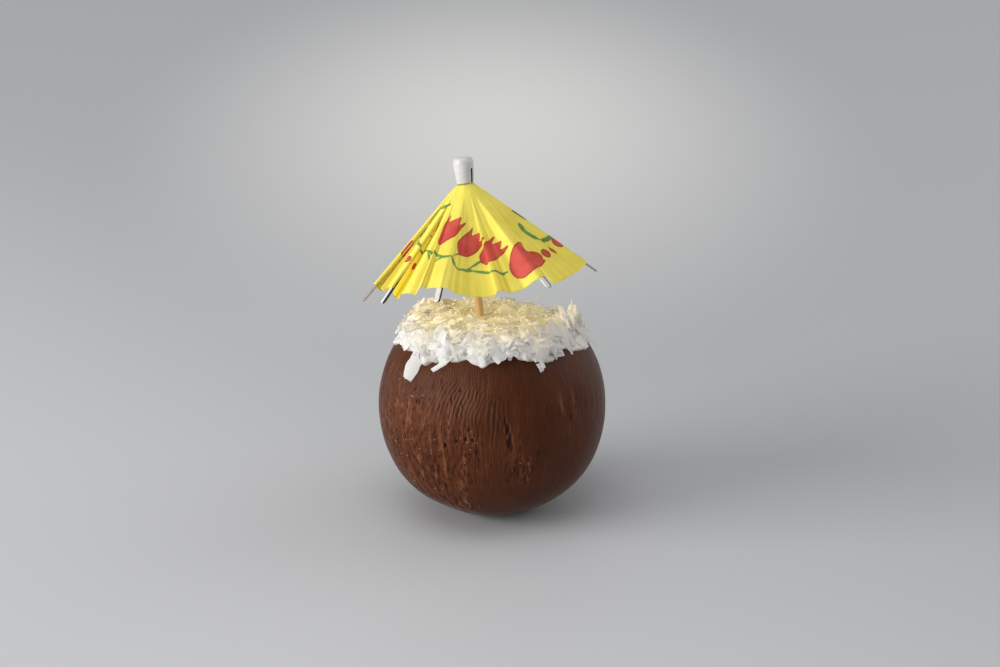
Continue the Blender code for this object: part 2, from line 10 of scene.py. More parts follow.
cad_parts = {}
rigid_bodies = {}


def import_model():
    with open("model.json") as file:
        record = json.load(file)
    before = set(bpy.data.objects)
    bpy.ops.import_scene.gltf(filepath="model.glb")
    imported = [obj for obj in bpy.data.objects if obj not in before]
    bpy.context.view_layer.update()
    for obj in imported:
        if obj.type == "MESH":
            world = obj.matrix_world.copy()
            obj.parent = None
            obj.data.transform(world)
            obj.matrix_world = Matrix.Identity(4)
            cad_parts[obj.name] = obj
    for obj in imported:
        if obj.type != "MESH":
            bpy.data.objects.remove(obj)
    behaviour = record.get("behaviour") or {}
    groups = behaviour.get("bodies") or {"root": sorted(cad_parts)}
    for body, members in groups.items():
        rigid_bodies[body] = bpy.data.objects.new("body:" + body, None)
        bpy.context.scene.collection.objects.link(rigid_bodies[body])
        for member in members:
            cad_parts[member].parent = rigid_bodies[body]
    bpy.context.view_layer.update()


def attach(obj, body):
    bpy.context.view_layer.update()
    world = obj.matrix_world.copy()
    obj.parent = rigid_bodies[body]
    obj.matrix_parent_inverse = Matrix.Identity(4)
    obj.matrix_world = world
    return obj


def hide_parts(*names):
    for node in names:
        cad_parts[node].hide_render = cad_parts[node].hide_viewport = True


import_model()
mm = 0.001


# shapes: noise, rings of points and meshes

def softNoise(points, size=1.0, seed=0, octaves=1):  # smooth value noise, -1 to 1, blobs about one size wide
    total, strength, spread = np.zeros(len(points)), 1.0, 0.0
    for octave in range(octaves):
        spot = np.asarray(points) / (size / 2 ** octave) + 37.7 * (octave + 1) + 0.37 * seed
        cell = np.floor(spot).astype(np.int64)
        part = spot - cell
        part = part * part * (3.0 - 2.0 * part)
        for corner in range(8):
            step = np.array([(corner >> axis) & 1 for axis in range(3)])
            weight = np.prod(np.where(step, part, 1.0 - part), axis=1)
            key = (cell + step) @ np.array([73856093, 19349663, 83492791]) + seed * 7919 + octave * 104729
            key = (key ^ (key >> 13)) * 1274126177
            key = (key ^ (key >> 16)) & 65535
            total += strength * weight * (key / 32767.5 - 1.0)
        spread += strength
        strength *= 0.5
    return total / spread


def hill(value, centre, halfWidth):  # 1 at the centre, 0 from the half width out
    away = np.minimum(np.abs(value - centre) / halfWidth, 1.0)
    return 0.5 + 0.5 * np.cos(np.pi * away)


def turnHill(degrees, centre, halfWidth):  # the same on a circle
    away = (np.asarray(degrees) - centre + 180.0) % 360.0 - 180.0
    return hill(away, 0.0, halfWidth)


def turns(count):  # azimuths all round
    return 2.0 * np.pi * np.arange(count) / count


def ringPoints(azimuth, radius=1.0, height=0.0):
    return np.stack([radius * np.cos(azimuth), radius * np.sin(azimuth), height + 0.0 * azimuth], axis=-1)


def gridFaces(rows, columns, closed=False):  # quads between rings; closed joins the last to the first
    row, column = np.arange(rows if closed else rows - 1)[:, None] * columns, np.arange(columns)
    aside, below = (column + 1) % columns, (row + columns) % (rows * columns)
    quads = np.stack([row + column, row + aside, below + aside, below + column], axis=-1)
    return quads.reshape(-1, 4).tolist()


def stripFaces(stations, sides):  # a tube with flat ends
    ends = list(range(sides))[::-1], list(range((stations - 1) * sides, stations * sides))
    return gridFaces(stations, sides) + list(ends)


def poleFaces(rows, columns):  # rings closed by fans to two poles, whose points come last
    faces, count = gridFaces(rows, columns), rows * columns
    for column in range(columns):
        after = (column + 1) % columns
        faces.append([column, after, count])
        faces.append([count - columns + after, count - columns + column, count + 1])
    return faces


def addPiece(name, points, faces, material=None, values=None, sharpDegrees=None):
    mesh = bpy.data.meshes.new(name)
    mesh.from_pydata(np.asarray(points, float).tolist(), [], faces)
    for key, numbers in (values or {}).items():
        numbers = np.asarray(numbers, np.float32)
        kind, part = ("FLOAT_VECTOR", "vector") if numbers.ndim == 2 else ("FLOAT", "value")
        mesh.attributes.new(key, kind, "POINT").data.foreach_set(part, numbers.ravel())
    shape = bmesh.new()
    shape.from_mesh(mesh)
    bmesh.ops.recalc_face_normals(shape, faces=shape.faces)
    shape.to_mesh(mesh)
    shape.free()
    mesh.shade_smooth()
    if sharpDegrees:
        mesh.set_sharp_from_angle(angle=math.radians(sharpDegrees))
    if material:
        mesh.materials.append(material)
    piece = bpy.data.objects.new(name, mesh)
    bpy.context.scene.collection.objects.link(piece)
    return piece


def settle(piece, sharpDegrees=45.0):  # what the piece's modifiers make, as its plain mesh
    bpy.context.view_layer.update()
    graph = bpy.context.evaluated_depsgraph_get()
    mesh = bpy.data.meshes.new_from_object(piece.evaluated_get(graph), preserve_all_data_layers=True,
                                           depsgraph=graph)
    piece.modifiers.clear()
    piece.data = mesh
    mesh.shade_smooth()
    mesh.set_sharp_from_angle(angle=math.radians(sharpDegrees))
    return piece


def removePieces(pieces):
    for piece in list(pieces):
        bpy.data.objects.remove(piece, do_unlink=True)


def finishPiece(piece, slot, *nodes):
    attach(piece, "root")
    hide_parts(*nodes)
    print(piece.name, "has", sum(len(face.vertices) - 2 for face in piece.data.polygons), "triangles")
    return piece


# nodes: short ways to add them to a tree

def addNode(tree, kind, inputs=None, **settings):
    node = tree.nodes.new(kind)
    for key, value in settings.items():
        setattr(node, key, value)
    for key, value in (inputs or {}).items():
        if isinstance(value, bpy.types.NodeSocket):
            tree.links.new(value, node.inputs[key])
        else:
            node.inputs[key].default_value = (*value, 1.0) if node.inputs[key].type == "RGBA" else value
    return node


def made(tree, kind, inputs=None, **settings):  # the first output of a new node
    return addNode(tree, kind, inputs, **settings).outputs[0]


def maths(tree, operation, first, second=0.0, clamp=False):
    inputs = {0: first, 1: second}
    return made(tree, "ShaderNodeMath", inputs, operation=operation, use_clamp=clamp)


def times(tree, first, second, clamp=False):
    return maths(tree, "MULTIPLY", first, second, clamp)


def plus(tree, first, second):
    return maths(tree, "ADD", first, second)


def fade(tree, value, start, end, first=0.0, last=1.0, kind="LINEAR"):  # from first to last as value passes
    inputs = {"Value": value, "From Min": start, "From Max": end, "To Min": first, "To Max": last}
    return made(tree, "ShaderNodeMapRange", inputs, interpolation_type=kind)


def mix(tree, factor, first, second, blend="MIX"):
    inputs = {0: factor, 6: first, 7: second}
    return addNode(tree, "ShaderNodeMix", inputs, data_type="RGBA", blend_type=blend).outputs[2]


def ramp(tree, factor, *stops):  # colours from (place, colour) stops
    node = addNode(tree, "ShaderNodeValToRGB", {"Fac": factor})
    marks = node.color_ramp.elements
    while len(marks) < len(stops):
        marks.new(0.5)
    for mark, (place, tone) in zip(marks, stops):
        mark.position = place
        mark.color = (*tone, 1.0)
    return node.outputs["Color"]


def here(tree):
    return addNode(tree, "ShaderNodeTexCoord").outputs["Object"]


def stretched(tree, vector, scale):
    return made(tree, "ShaderNodeMapping", {"Vector": vector, "Scale": scale})


def noise(tree, scale, detail=2.0, vector=None, roughness=0.5):
    inputs = {"Vector": vector or here(tree), "Scale": scale, "Detail": detail, "Roughness": roughness}
    return addNode(tree, "ShaderNodeTexNoise", inputs).outputs["Fac"]


def field(tree, name, output="Fac"):
    return addNode(tree, "ShaderNodeAttribute", attribute_name=name).outputs[output]


def newFinish(name, roughness, level, subsurface=0.0, radius=(1.0, 1.0, 1.0), scale=0.001):
    material = bpy.data.materials.new(name)
    material.use_nodes = True
    shader = material.node_tree.nodes["Principled BSDF"]
    values = {"Roughness": roughness, "Specular IOR Level": level, "Subsurface Weight": subsurface,
              "Subsurface Radius": radius, "Subsurface Scale": scale}
    for key, value in values.items():
        shader.inputs[key].default_value = value
    return material, material.node_tree


def paint(material, base, *bumps):  # the base colour, and layers of bump: height, strength, distance
    tree, shader = material.node_tree, material.node_tree.nodes["Principled BSDF"]
    tree.links.new(base, shader.inputs["Base Color"])
    normal = None
    for height, strength, distance in bumps:
        inputs = {"Height": height, "Strength": strength, "Distance": distance}
        if normal:
            inputs["Normal"] = normal
        normal = addNode(tree, "ShaderNodeBump", inputs).outputs["Normal"]
    if normal:
        tree.links.new(normal, shader.inputs["Normal"])
    return material


def letLightThrough(material, shadow, base, glow):  # a tinted, thinner shadow, and light from behind
    tree, shader = material.node_tree, material.node_tree.nodes["Principled BSDF"]
    far = made(tree, "ShaderNodeBsdfTranslucent", {"Color": base})
    lit = made(tree, "ShaderNodeMixShader", {0: glow, 1: shader.outputs[0], 2: far})
    clear = made(tree, "ShaderNodeBsdfTransparent", {"Color": shadow})
    lamp = addNode(tree, "ShaderNodeLightPath").outputs["Is Shadow Ray"]
    thin = made(tree, "ShaderNodeMixShader", {0: lamp, 1: lit, 2: clear})
    tree.links.new(thin, tree.nodes["Material Output"].inputs["Surface"])


def newTree(name, **inputs):  # a geometry tree with named inputs of these kinds
    tree = bpy.data.node_groups.new(name, "GeometryNodeTree")
    for label, kind in {"Geometry": "Geometry", **inputs, "Material": "Material"}.items():
        tree.interface.new_socket(label, in_out="INPUT", socket_type="NodeSocket" + kind)
    tree.interface.new_socket("Geometry", in_out="OUTPUT", socket_type="NodeSocketGeometry")
    return tree, addNode(tree, "NodeGroupInput").outputs


def endTree(tree, geometry, material):
    real = made(tree, "GeometryNodeRealizeInstances", {"Geometry": geometry})
    dressed = made(tree, "GeometryNodeSetMaterial", {"Geometry": real, "Material": material})
    addNode(tree, "NodeGroupOutput", {"Geometry": dressed})
    return tree


def named(tree, name):
    return made(tree, "GeometryNodeInputNamedAttribute", {"Name": name}, data_type="FLOAT")


def chance(tree, least, most, seed, kind="FLOAT"):
    first = 2 if kind == "FLOAT" else 0
    inputs = {first: least, first + 1: most, "Seed": seed}
    return addNode(tree, "FunctionNodeRandomValue", inputs, data_type=kind).outputs[first // 2]


def growPiece(name, source, tree, **inputs):  # what a tree makes of a copy of the source
    piece = bpy.data.objects.new(name, source.data.copy())
    bpy.context.scene.collection.objects.link(piece)
    modifier = piece.modifiers.new(name, "NODES")
    modifier.node_group = tree
    for item in tree.interface.items_tree:
        if item.in_out == "INPUT" and item.name in inputs:
            modifier[item.identifier] = inputs[item.name]
    return settle(piece)


# strips, and copies of them strewn over a surface

def stripPoints(length, width, thickness, curl, twist, taper, stations, sides, draw):  # a curved strip
    points, bend = [], draw.uniform(-0.5, 0.5)
    for step in np.linspace(-1.0, 1.0, stations):
        half = width * 0.5 * (1.0 - taper * abs(step) ** 2.2) * draw.uniform(0.86, 1.12)
        bow = length * step * step
        cosTurn, sinTurn = math.cos(twist * step), math.sin(twist * step)
        for angle in turns(sides):
            flat, up = half * math.cos(angle), 0.5 * thickness * math.sin(angle)
            points.append((length * 0.5 * step, bend * 0.16 * bow + flat * cosTurn - up * sinTurn,
                           flat * sinTurn + up * cosTurn - curl * bow))
    return np.array(points)


def scatterTree(name):  # copies of a group's shapes, more of them where the surface's cover is greater
    tree, given = newTree(name, Shapes="Collection", Density="Float", Tilt="Float", Smallest="Float",
                          Largest="Float", Lift="Float", Seed="Int")
    density = times(tree, named(tree, "cover"), given["Density"])
    spots = {"Mesh": given["Geometry"], "Density": density, "Seed": given["Seed"]}
    spots = addNode(tree, "GeometryNodeDistributePointsOnFaces", spots).outputs
    lift = {0: spots["Normal"], 3: chance(tree, 0.0, given["Lift"], 5)}
    lift = made(tree, "ShaderNodeVectorMath", lift, operation="SCALE")
    raised = made(tree, "GeometryNodeSetPosition", {"Geometry": spots["Points"], "Offset": lift})
    up, down = given["Tilt"], times(tree, given["Tilt"], -1.0)
    least = made(tree, "ShaderNodeCombineXYZ", {"X": down, "Y": down})
    most = made(tree, "ShaderNodeCombineXYZ", {"X": up, "Y": up, "Z": 2.0 * math.pi})
    swing = chance(tree, least, most, 7, "FLOAT_VECTOR")
    turn = made(tree, "FunctionNodeEulerToRotation", {0: swing})
    lay = made(tree, "FunctionNodeRotateRotation", {"Rotation": spots["Rotation"], "Rotate By": turn},
               rotation_space="LOCAL")
    size = chance(tree, given["Smallest"], given["Largest"], 9)
    shapes = {"Collection": given["Shapes"], "Separate Children": True, "Reset Children": True}
    shapes = made(tree, "GeometryNodeCollectionInfo", shapes)
    strewn = {"Points": raised, "Instance": shapes, "Rotation": lay, "Pick Instance": True, "Scale": size}
    strewn = made(tree, "GeometryNodeInstanceOnPoints", strewn)
    toned = {"Geometry": strewn, "Name": "tone", "Value": chance(tree, 0.0, 1.0, 11)}
    toned = addNode(tree, "GeometryNodeStoreNamedAttribute", toned, data_type="FLOAT", domain="INSTANCE")
    return endTree(tree, toned.outputs[0], given["Material"])


strewnShapes = {
    "curl": (-0.04, 0.16),
    "twist": (-0.9, 0.9),
    "taper": (0.25, 0.75),
}


def strewPiece(name, surface, tree, material, stations, seeds, sizes):
    # sizes: how many shapes, their length, width and thickness in mm, how many to a square mm, tilt in
    # degrees, least and greatest scale, and lift in mm
    count, lengths, widths, thickness, density, tilt, scales, lift = sizes
    group, draw = bpy.data.collections.new(name), random.Random(seeds[0])
    for index in range(count):
        spans = lengths, widths, *strewnShapes.values()
        length, width, curl, twist, taper = [draw.uniform(*span) for span in spans]
        points = stripPoints(length, width, thickness, curl, twist, taper, stations, 4, draw)
        shape = addPiece("%sShape_%d" % (name, index), points * mm, stripFaces(stations, 4))
        bpy.context.scene.collection.objects.unlink(shape)
        group.objects.link(shape)
    piece = growPiece(name, surface, tree, Shapes=group, Density=density / mm ** 2, Tilt=math.radians(tilt),
                      Smallest=scales[0], Largest=scales[1], Lift=lift * mm, Seed=seeds[1], Material=material)
    removePieces(group.objects)
    bpy.data.collections.remove(group)
    return piece


# the cake's own axis and its chocolate coating

cake = {
    "radius": 35.0 * mm,
    "footDepth": 1.4 * mm,
    "leanDegrees": 8.0,  # the cut top faces a little to the back
    "cutDegrees": 51.0,
    "cutDips": ((180, 50, 4.2), (352, 45, 5.2)),  # azimuth, half width and depth down the ball
    "belly": (130.0, 40.0, 0.8 * mm),  # angle from the axis, half width and height
    "swell": 0.30 * mm,
    "footDegrees": 168.0,
    "columns": 700,
    "rows": 132,
    "rimRows": 3,
    "rimStep": 0.28,  # share of the radius from ring to ring on the cut top
    "rimLift": 0.1 * mm,
    "footRows": 4,
}
ballHeight = cake["radius"] - cake["footDepth"]
cakeTurn = np.array(Matrix.Rotation(-math.radians(cake["leanDegrees"]), 3, "X"))


def cakeToWorld(points):
    return np.asarray(points) @ cakeTurn.T + np.array([0.0, 0.0, ballHeight])


def cakeWay(azimuth, angle):  # unit vectors from two arrays in radians
    return ringPoints(azimuth, np.sin(angle), np.cos(angle))


relief = {
    "seed": 11,
    # how many, half width, half height and depth in mm
    "pits": (640, (0.24, 0.40), (0.5, 1.3), (0.10, 0.32)),
    "grooves": (520, (0.22, 0.34), (0.8, 2.2), (0.08, 0.26)),
    "strokeSpacing": 1.30,
    "strokeDepth": 0.30,
    "strokeUpright": 86.0,  # strokes stand upright at this angle from the axis and lean over above it
    "strokeLean": 0.032,
    "hollowDepth": 0.40 * mm,
    "crestHeight": 0.13 * mm,
    "ridgeDepth": 0.12,
    # rough places: azimuth, angle from the axis, half widths in degrees, strength
    "roughPlaces": (
        (226, 100, 30, 32, 1.0), (240, 118, 24, 24, 0.9), (247, 137, 13, 9, 0.9), (258, 102, 14, 16, 0.8),
        (208, 84, 18, 24, 0.55), (214, 72, 14, 9, 0.5), (284, 108, 16, 18, 0.45), (312, 84, 14, 12, 0.3),
        (160, 104, 26, 24, 0.8), (118, 88, 22, 20, 0.6), (62, 106, 28, 26, 0.9), (20, 122, 20, 16, 0.5),
        (92, 128, 20, 14, 0.6),
    ),
    # brushed places, in the same way
    "brushedPlaces": (
        (252, 74, 17, 15, 1.0), (271, 84, 12, 16, 0.5), (196, 66, 12, 10, 0.6), (130, 74, 20, 14, 0.8),
        (48, 78, 20, 14, 0.8), (8, 92, 16, 16, 0.4),
    ),
    # single dents: azimuth, angle, half width, half height and depth in mm
    "dents": (
        (276.6, 86.5, 0.36, 1.3, 0.40), (277.4, 90, 0.55, 1.4, 0.80), (278.6, 93.6, 0.36, 1.1, 0.60),
        (278.4, 96.8, 0.70, 1.5, 0.80), (279.8, 99.6, 0.36, 1.1, 0.45), (259.2, 90.3, 0.75, 0.55, 0.62),
        (256.9, 95, 0.60, 0.65, 0.80), (260.1, 95.6, 0.5, 0.6, 0.70), (251.6, 96.6, 0.5, 0.6, 0.8),
        (246, 99, 0.45, 0.8, 0.7), (253.5, 71, 0.5, 0.6, 0.5), (230, 79, 0.9, 0.7, 0.6),
        (150, 95, 1.2, 3.0, 0.9), (152.5, 101, 0.8, 2.0, 0.9), (58, 108, 1.1, 2.8, 1.0),
        (96, 84, 1.4, 1.8, 0.7), (20, 98, 0.6, 2.4, 0.8),
    ),
}


def placeField(degrees, tilt, places, spread, power):  # how strongly the listed places reach each point
    total = np.zeros(len(degrees))
    for centre, middle, wide, high, strength in places:
        near = turnHill(degrees, centre, wide * spread) ** power * hill(tilt, middle, high * spread) ** power
        total = np.maximum(total, strength * near)
    return total


def dentField(across, along, halfWidth, halfHeight):  # a pit with a faint raised rim
    spread = (across / halfWidth) ** 2 + (along / halfHeight) ** 2
    return np.exp(-spread ** 1.35) - 0.14 * np.exp(-(np.sqrt(spread) - 1.55) ** 2 / 0.16)


def allDents():  # the listed dents, then pits and grooves strewn over the rough places
    draw, places = random.Random(relief["seed"]), relief["roughPlaces"]
    weights = [strength * wide * high for _, _, wide, high, strength in places]
    dents = list(relief["dents"])
    for count, halfWidths, halfHeights, depths in (relief["pits"], relief["grooves"]):
        for _ in range(count):
            centre, middle, wide, high, _ = draw.choices(places, weights)[0]
            dents.append((centre + draw.gauss(0.0, 0.42) * wide, middle + draw.gauss(0.0, 0.42) * high,
                          draw.uniform(*halfWidths), draw.uniform(*halfHeights), draw.uniform(*depths)))
    return dents


def coatingRelief(azimuth, angle):  # height over the round ball, and the fine share of it, in metres
    radius = cake["radius"] / mm
    degrees, tilt = np.degrees(azimuth), np.degrees(angle)
    way = cakeWay(azimuth, angle) * radius
    grain = ringPoints(azimuth, radius, radius * angle)
    rough = placeField(degrees, tilt, relief["roughPlaces"], 1.3, 0.6)
    rough = np.clip(rough * (1.0 + 0.35 * softNoise(way, 5.0, 3)), 0.0, 1.0)
    brushed = placeField(degrees, tilt, relief["brushedPlaces"], 1.25, 0.7)
    middle, halfWidth, belly = cake["belly"]
    swell = cake["swell"] / mm * softNoise(way, 14.0, 1, 2) + belly / mm * hill(tilt, middle, halfWidth)
    streaks = grain * np.array([1.0, 1.0, 0.14])
    ridges = softNoise(streaks, 1.25, 5) + 0.6 * softNoise(streaks, 0.85, 6)
    fine = relief["ridgeDepth"] * ridges * (0.55 + 1.9 * rough) * (0.6 + 0.4 * softNoise(way, 9.0, 8))
    lift = np.maximum(np.radians(relief["strokeUpright"] - tilt) * radius, 0.0)
    lean = relief["strokeLean"] * lift ** 2
    across = radius * azimuth * 0.94 - lean + 0.9 * softNoise(way, 4.5, 12)
    stroke = np.cos(2.0 * np.pi * across / relief["strokeSpacing"] + 2.2 * softNoise(way, 6.0, 13))
    stroke = (np.sign(stroke) * np.abs(stroke) ** 0.8 - 0.3) * (0.75 + 0.5 * softNoise(streaks, 2.4, 14))
    fine += relief["strokeDepth"] * stroke * brushed
    fine += 0.10 * rough * softNoise(way, 1.5, 15, 2)
    wobble = 0.30 * softNoise(grain * np.array([0.2, 0.2, 1.0]), 1.6, 21)
    for centre, middle, halfWidth, halfHeight, depth in allDents():
        near = np.abs(tilt - middle) < math.degrees(3.2 * halfHeight / radius)
        aside = (degrees[near] - centre + 180.0) % 360.0 - 180.0
        side = np.radians(aside) * np.sin(angle[near]) * radius + wobble[near]
        along = radius * angle[near] - math.radians(middle) * radius
        fine[near] -= depth * dentField(side, along, halfWidth, halfHeight)
    return (swell + fine) * mm, fine * mm, rough, grain * mm


def chocolateFinish():
    material, tree = newFinish("milkChocolate", 0.40, 0.12)
    shader = tree.nodes["Principled BSDF"]
    grain, rough = field(tree, "grain", "Vector"), field(tree, "rough")
    streak = noise(tree, 1500.0, 2.0, stretched(tree, grain, (1.0, 1.0, 0.16)))
    tone = plus(tree, times(tree, noise(tree, 90.0, 3.0), 0.66), times(tree, streak, 0.34))
    base = ramp(tree, tone, (0.30, (0.055, 0.0138, 0.0038)), (0.50, (0.073, 0.0190, 0.0053)),
                (0.72, (0.099, 0.0295, 0.0095)))
    cells = {"Vector": stretched(tree, grain, (1.0, 1.0, 0.34)), "Scale": 1900.0}
    away = addNode(tree, "ShaderNodeTexVoronoi", cells).outputs["Distance"]
    where = times(tree, fade(tree, noise(tree, 330.0), 0.40, 0.54), rough)
    pit = times(tree, fade(tree, away, 0.16, 0.36, 1.0, 0.0), where)
    # painted shade: the relief's hollows and the pits are darkened toward near-black brown, where shade falls
    low = maths(tree, "MAXIMUM", times(tree, field(tree, "hollow"), 0.75), times(tree, pit, 0.65))
    shadedHollows = mix(tree, low, base, (0.030, 0.0085, 0.0036))
    # painted highlight: the crests of the relief are lightened
    crestHighlighted = mix(tree, times(tree, field(tree, "crest"), 0.60, True), shadedHollows, (0.200, 0.080, 0.038))
    # painted light: the colour is made paler in the rough places, which lie mostly toward the lit front left,
    # in place of stronger light there
    pale = mix(tree, times(tree, rough, 0.8, True), crestHighlighted, (1.52, 1.50, 1.46), "MULTIPLY")
    shine = plus(tree, fade(tree, tone, 0.3, 0.7, 0.36, 0.50), times(tree, rough, 0.10))
    tree.links.new(shine, shader.inputs["Roughness"])
    shader.inputs["Sheen Weight"].default_value = 0.26
    shader.inputs["Sheen Roughness"].default_value = 0.15
    brush = noise(tree, 2600.0, 2.0, stretched(tree, grain, (1.0, 1.0, 0.07)))
    return paint(material, pale, (brush, 0.75, 0.00030), (noise(tree, 900.0, 4.0, None, 0.65), 0.40, 0.00030),
                 (maths(tree, "SUBTRACT", 1.0, pit), 0.9, 0.00040), (noise(tree, 2400.0, 3.0), 0.25, 0.00012))


def cutAngle(azimuth):
    degrees = np.full(len(azimuth), cake["cutDegrees"])
    for centre, halfWidth, depth in cake["cutDips"]:
        degrees = degrees + depth * turnHill(np.degrees(azimuth), centre, halfWidth)
    return np.radians(degrees)


def makeCoating():
    columns, rows, rimRows = cake["columns"], cake["rows"], cake["rimRows"]
    foot, azimuths = math.radians(cake["footDegrees"]), turns(columns)
    cut = cutAngle(azimuths)
    sides = [cut + (foot - cut) * share for share in np.linspace(0.0, 1.0, rows)]
    sole = [np.full(columns, angle) for angle in np.linspace(foot, math.pi, cake["footRows"] + 1)[1:-1]]
    angle, azimuth = np.concatenate(sides + sole), np.tile(azimuths, rows + len(sole))
    height, fine, rough, grain = coatingRelief(azimuth, angle)
    points = cakeWay(azimuth, angle) * (cake["radius"] + height)[:, None]
    rim, flat = points[:columns], cake["radius"] * math.cos(math.radians(cake["cutDegrees"]))
    rings = []
    for share in 1.0 - cake["rimStep"] * np.arange(rimRows, 0, -1):  # the cut top, from near its middle out
        level = flat + (rim[:, 2] - flat) * share ** 2
        rings.append(np.column_stack([rim[:, :2] * share, level + cake["rimLift"]]))
    poles = (0.0, 0.0, flat), (0.0, 0.0, -cake["radius"])
    world = cakeToWorld(np.vstack([*rings, points, poles]))
    world[:, 2] = np.maximum(world[:, 2], 0.0)
    values = {
        "hollow": np.clip(-fine / relief["hollowDepth"], 0.0, 1.0),
        "crest": np.clip(fine / relief["crestHeight"] - 0.25, 0.0, 1.0),
        "rough": rough,
        "cover": np.clip(rough * 1.6 - 0.5, 0.0, 1.0),
        "grain": grain,
    }
    for name, numbers in values.items():  # nothing on the cut top and at the poles
        own = np.zeros((len(world), *numbers.shape[1:]))
        own[rimRows * columns:-2] = numbers
        values[name] = own
    faces = poleFaces(len(world) // columns, columns)
    piece = addPiece("chocolate_coating", world, faces, chocolateFinish(), values)
    return finishPiece(piece, "chocolate", "chocolate_cake_ball")


coating = makeCoating()

crumbs = {
    "sizes": (7, (0.5, 1.7), (0.22, 0.50), 0.24, 0.11, 16.0, (0.5, 1.1), 0.06),
    "stations": 4,
    "seeds": (23, 3),
}


def makeCrumbs():
    material, tree = newFinish("chocolateCrumb", 0.50, 0.2)
    tone = ramp(tree, field(tree, "tone"), (0.0, (0.12, 0.045, 0.020)), (1.0, (0.34, 0.170, 0.095)))
    piece = strewPiece("chocolate_crumbs", coating, scatterTree("strewCrumbs"), paint(material, tone),
                       crumbs["stations"], crumbs["seeds"], crumbs["sizes"])
    finishPiece(piece, "chocolate", "chocolate_cake_ball")


makeCrumbs()


# the cream

mound = {
    "edgeDegrees": 55.5,
    "lip": 0.9 * mm,
    "leastLip": 0.6 * mm,
    "top": 26.6 * mm,
    "power": 3.6,
    "topShare": 0.985,  # how far up the rings go; the middle is closed by a fan
    "edgeReach": 34.0,  # radius on which the edge's waviness is drawn, in mm
    "tilt": (-0.05, 0.01),  # rise of the top to the right and to the back
    "insets": ((178, 60, 0.13), (352, 60, 0.22)),  # azimuth, half width, share of the radius
    "columns": 460,
    "rows": 96,
    "lump": 0.75 * mm,
    "lumpSize": 3.4 * mm,
    # lobes of the edge: azimuth, half width and reach down the ball, in degrees
    "lobes": (
        (180, 15, 1.3), (204, 9, -0.6), (228, 12, 4.2), (247, 9, 1.2), (264, 10, 3.8), (281, 8, -2.4),
        (304, 12, 2.4), (320, 8, -2.4), (344, 12, 1.6), (10, 18, 2.2), (52, 12, 2.4), (83, 9, -2.0),
        (108, 13, 3.8), (140, 11, -1.8),
    ),
    # how the edge folds in under itself: share of the radius and drop in mm
    "tucks": ((0.80, 2.4), (0.90, 2.0), (0.952, 1.45), (0.980, 0.85), (0.995, 0.35)),
    "root": 12.0 * mm,
}


def moundEdge(azimuth):  # radius and height of the cream's edge on the ball
    tilt = np.full(len(azimuth), mound["edgeDegrees"])
    for centre, halfWidth, reach in mound["lobes"]:
        tilt = tilt + reach * turnHill(np.degrees(azimuth), centre, halfWidth)
    tilt = np.radians(tilt + 0.9 * softNoise(ringPoints(azimuth) * mound["edgeReach"], 2.2, 31, 2))
    reach = cake["radius"] + mound["lip"]
    return reach * np.sin(tilt), reach * np.cos(tilt)


def moundPoints(columns, rise):  # points of the rounded mound and the way out of it
    azimuth = np.tile(turns(columns), len(rise) // columns)
    radius, base = moundEdge(azimuth)
    arc = rise * np.pi / 2.0
    up = np.maximum(np.sin(arc), 0.0) ** (2.0 / mound["power"])
    radius = radius * np.maximum(np.cos(arc), 0.0) ** (2.0 / mound["power"])
    for centre, halfWidth, share in mound["insets"]:
        near = turnHill(np.degrees(azimuth), centre, halfWidth)
        radius = radius * (1.0 - share * near * (1.0 - (1.0 - up) ** 3))
    points = ringPoints(azimuth, radius)
    points[:, 2] = base + (mound["top"] - base) * up + up * (points[:, :2] @ mound["tilt"])
    return azimuth, points, ringPoints(azimuth, np.cos(arc), np.sin(arc))


def moundShell(points, columns, tucks, root):  # the surface folded in under its rim, down to a hidden root
    rim = points[:columns]
    rings = [rim * (shrink, shrink, 1.0) - (0.0, 0.0, drop * mm) for shrink, drop in tucks]
    world = cakeToWorld(np.vstack([*rings, points, (0.0, 0.0, root), points[-columns:].mean(axis=0)]))
    return world, poleFaces(len(world) // columns, columns)


def creamFinish():
    material, tree = newFinish("whippedCream", 0.42, 0.40, 0.30, (1.0, 0.85, 0.6), 0.0010)
    base = ramp(tree, noise(tree, 260.0, 3.0), (0.35, (0.665, 0.640, 0.580)), (0.65, (0.735, 0.710, 0.665)))
    return paint(material, base, (noise(tree, 700.0, 3.0), 0.5, 0.0006), (noise(tree, 2400.0), 0.25, 0.0002))


def makeCream():
    columns, size = mound["columns"], mound["lumpSize"]
    rise = np.repeat(np.linspace(0.0, mound["topShare"], mound["rows"]), columns)
    _, points, out = moundPoints(columns, rise)
    lumps = softNoise(points, size, 41) + 0.42 * softNoise(points, size * 0.42, 42)
    lumps += 0.16 * softNoise(points, size * 0.18, 43)
    points = points + out * (mound["lump"] * lumps)[:, None]
    reach = np.linalg.norm(points, axis=1)
    onBall = points[:, 2] < reach * math.cos(math.radians(cake["cutDegrees"] - 1.0))
    grown = np.maximum((cake["radius"] + mound["leastLip"]) / reach, 1.0)  # no chocolate shows through a dip
    points = points * np.where(onBall, grown, 1.0)[:, None]
    world, faces = moundShell(points, columns, mound["tucks"], mound["root"])
    finishPiece(addPiece("cream_mound", world, faces, creamFinish()), "cream", "whipped_cream")


makeCream()


# the shredded coconut: a bumpy core, strewn shreds, flakes and threads, and a few long shreds

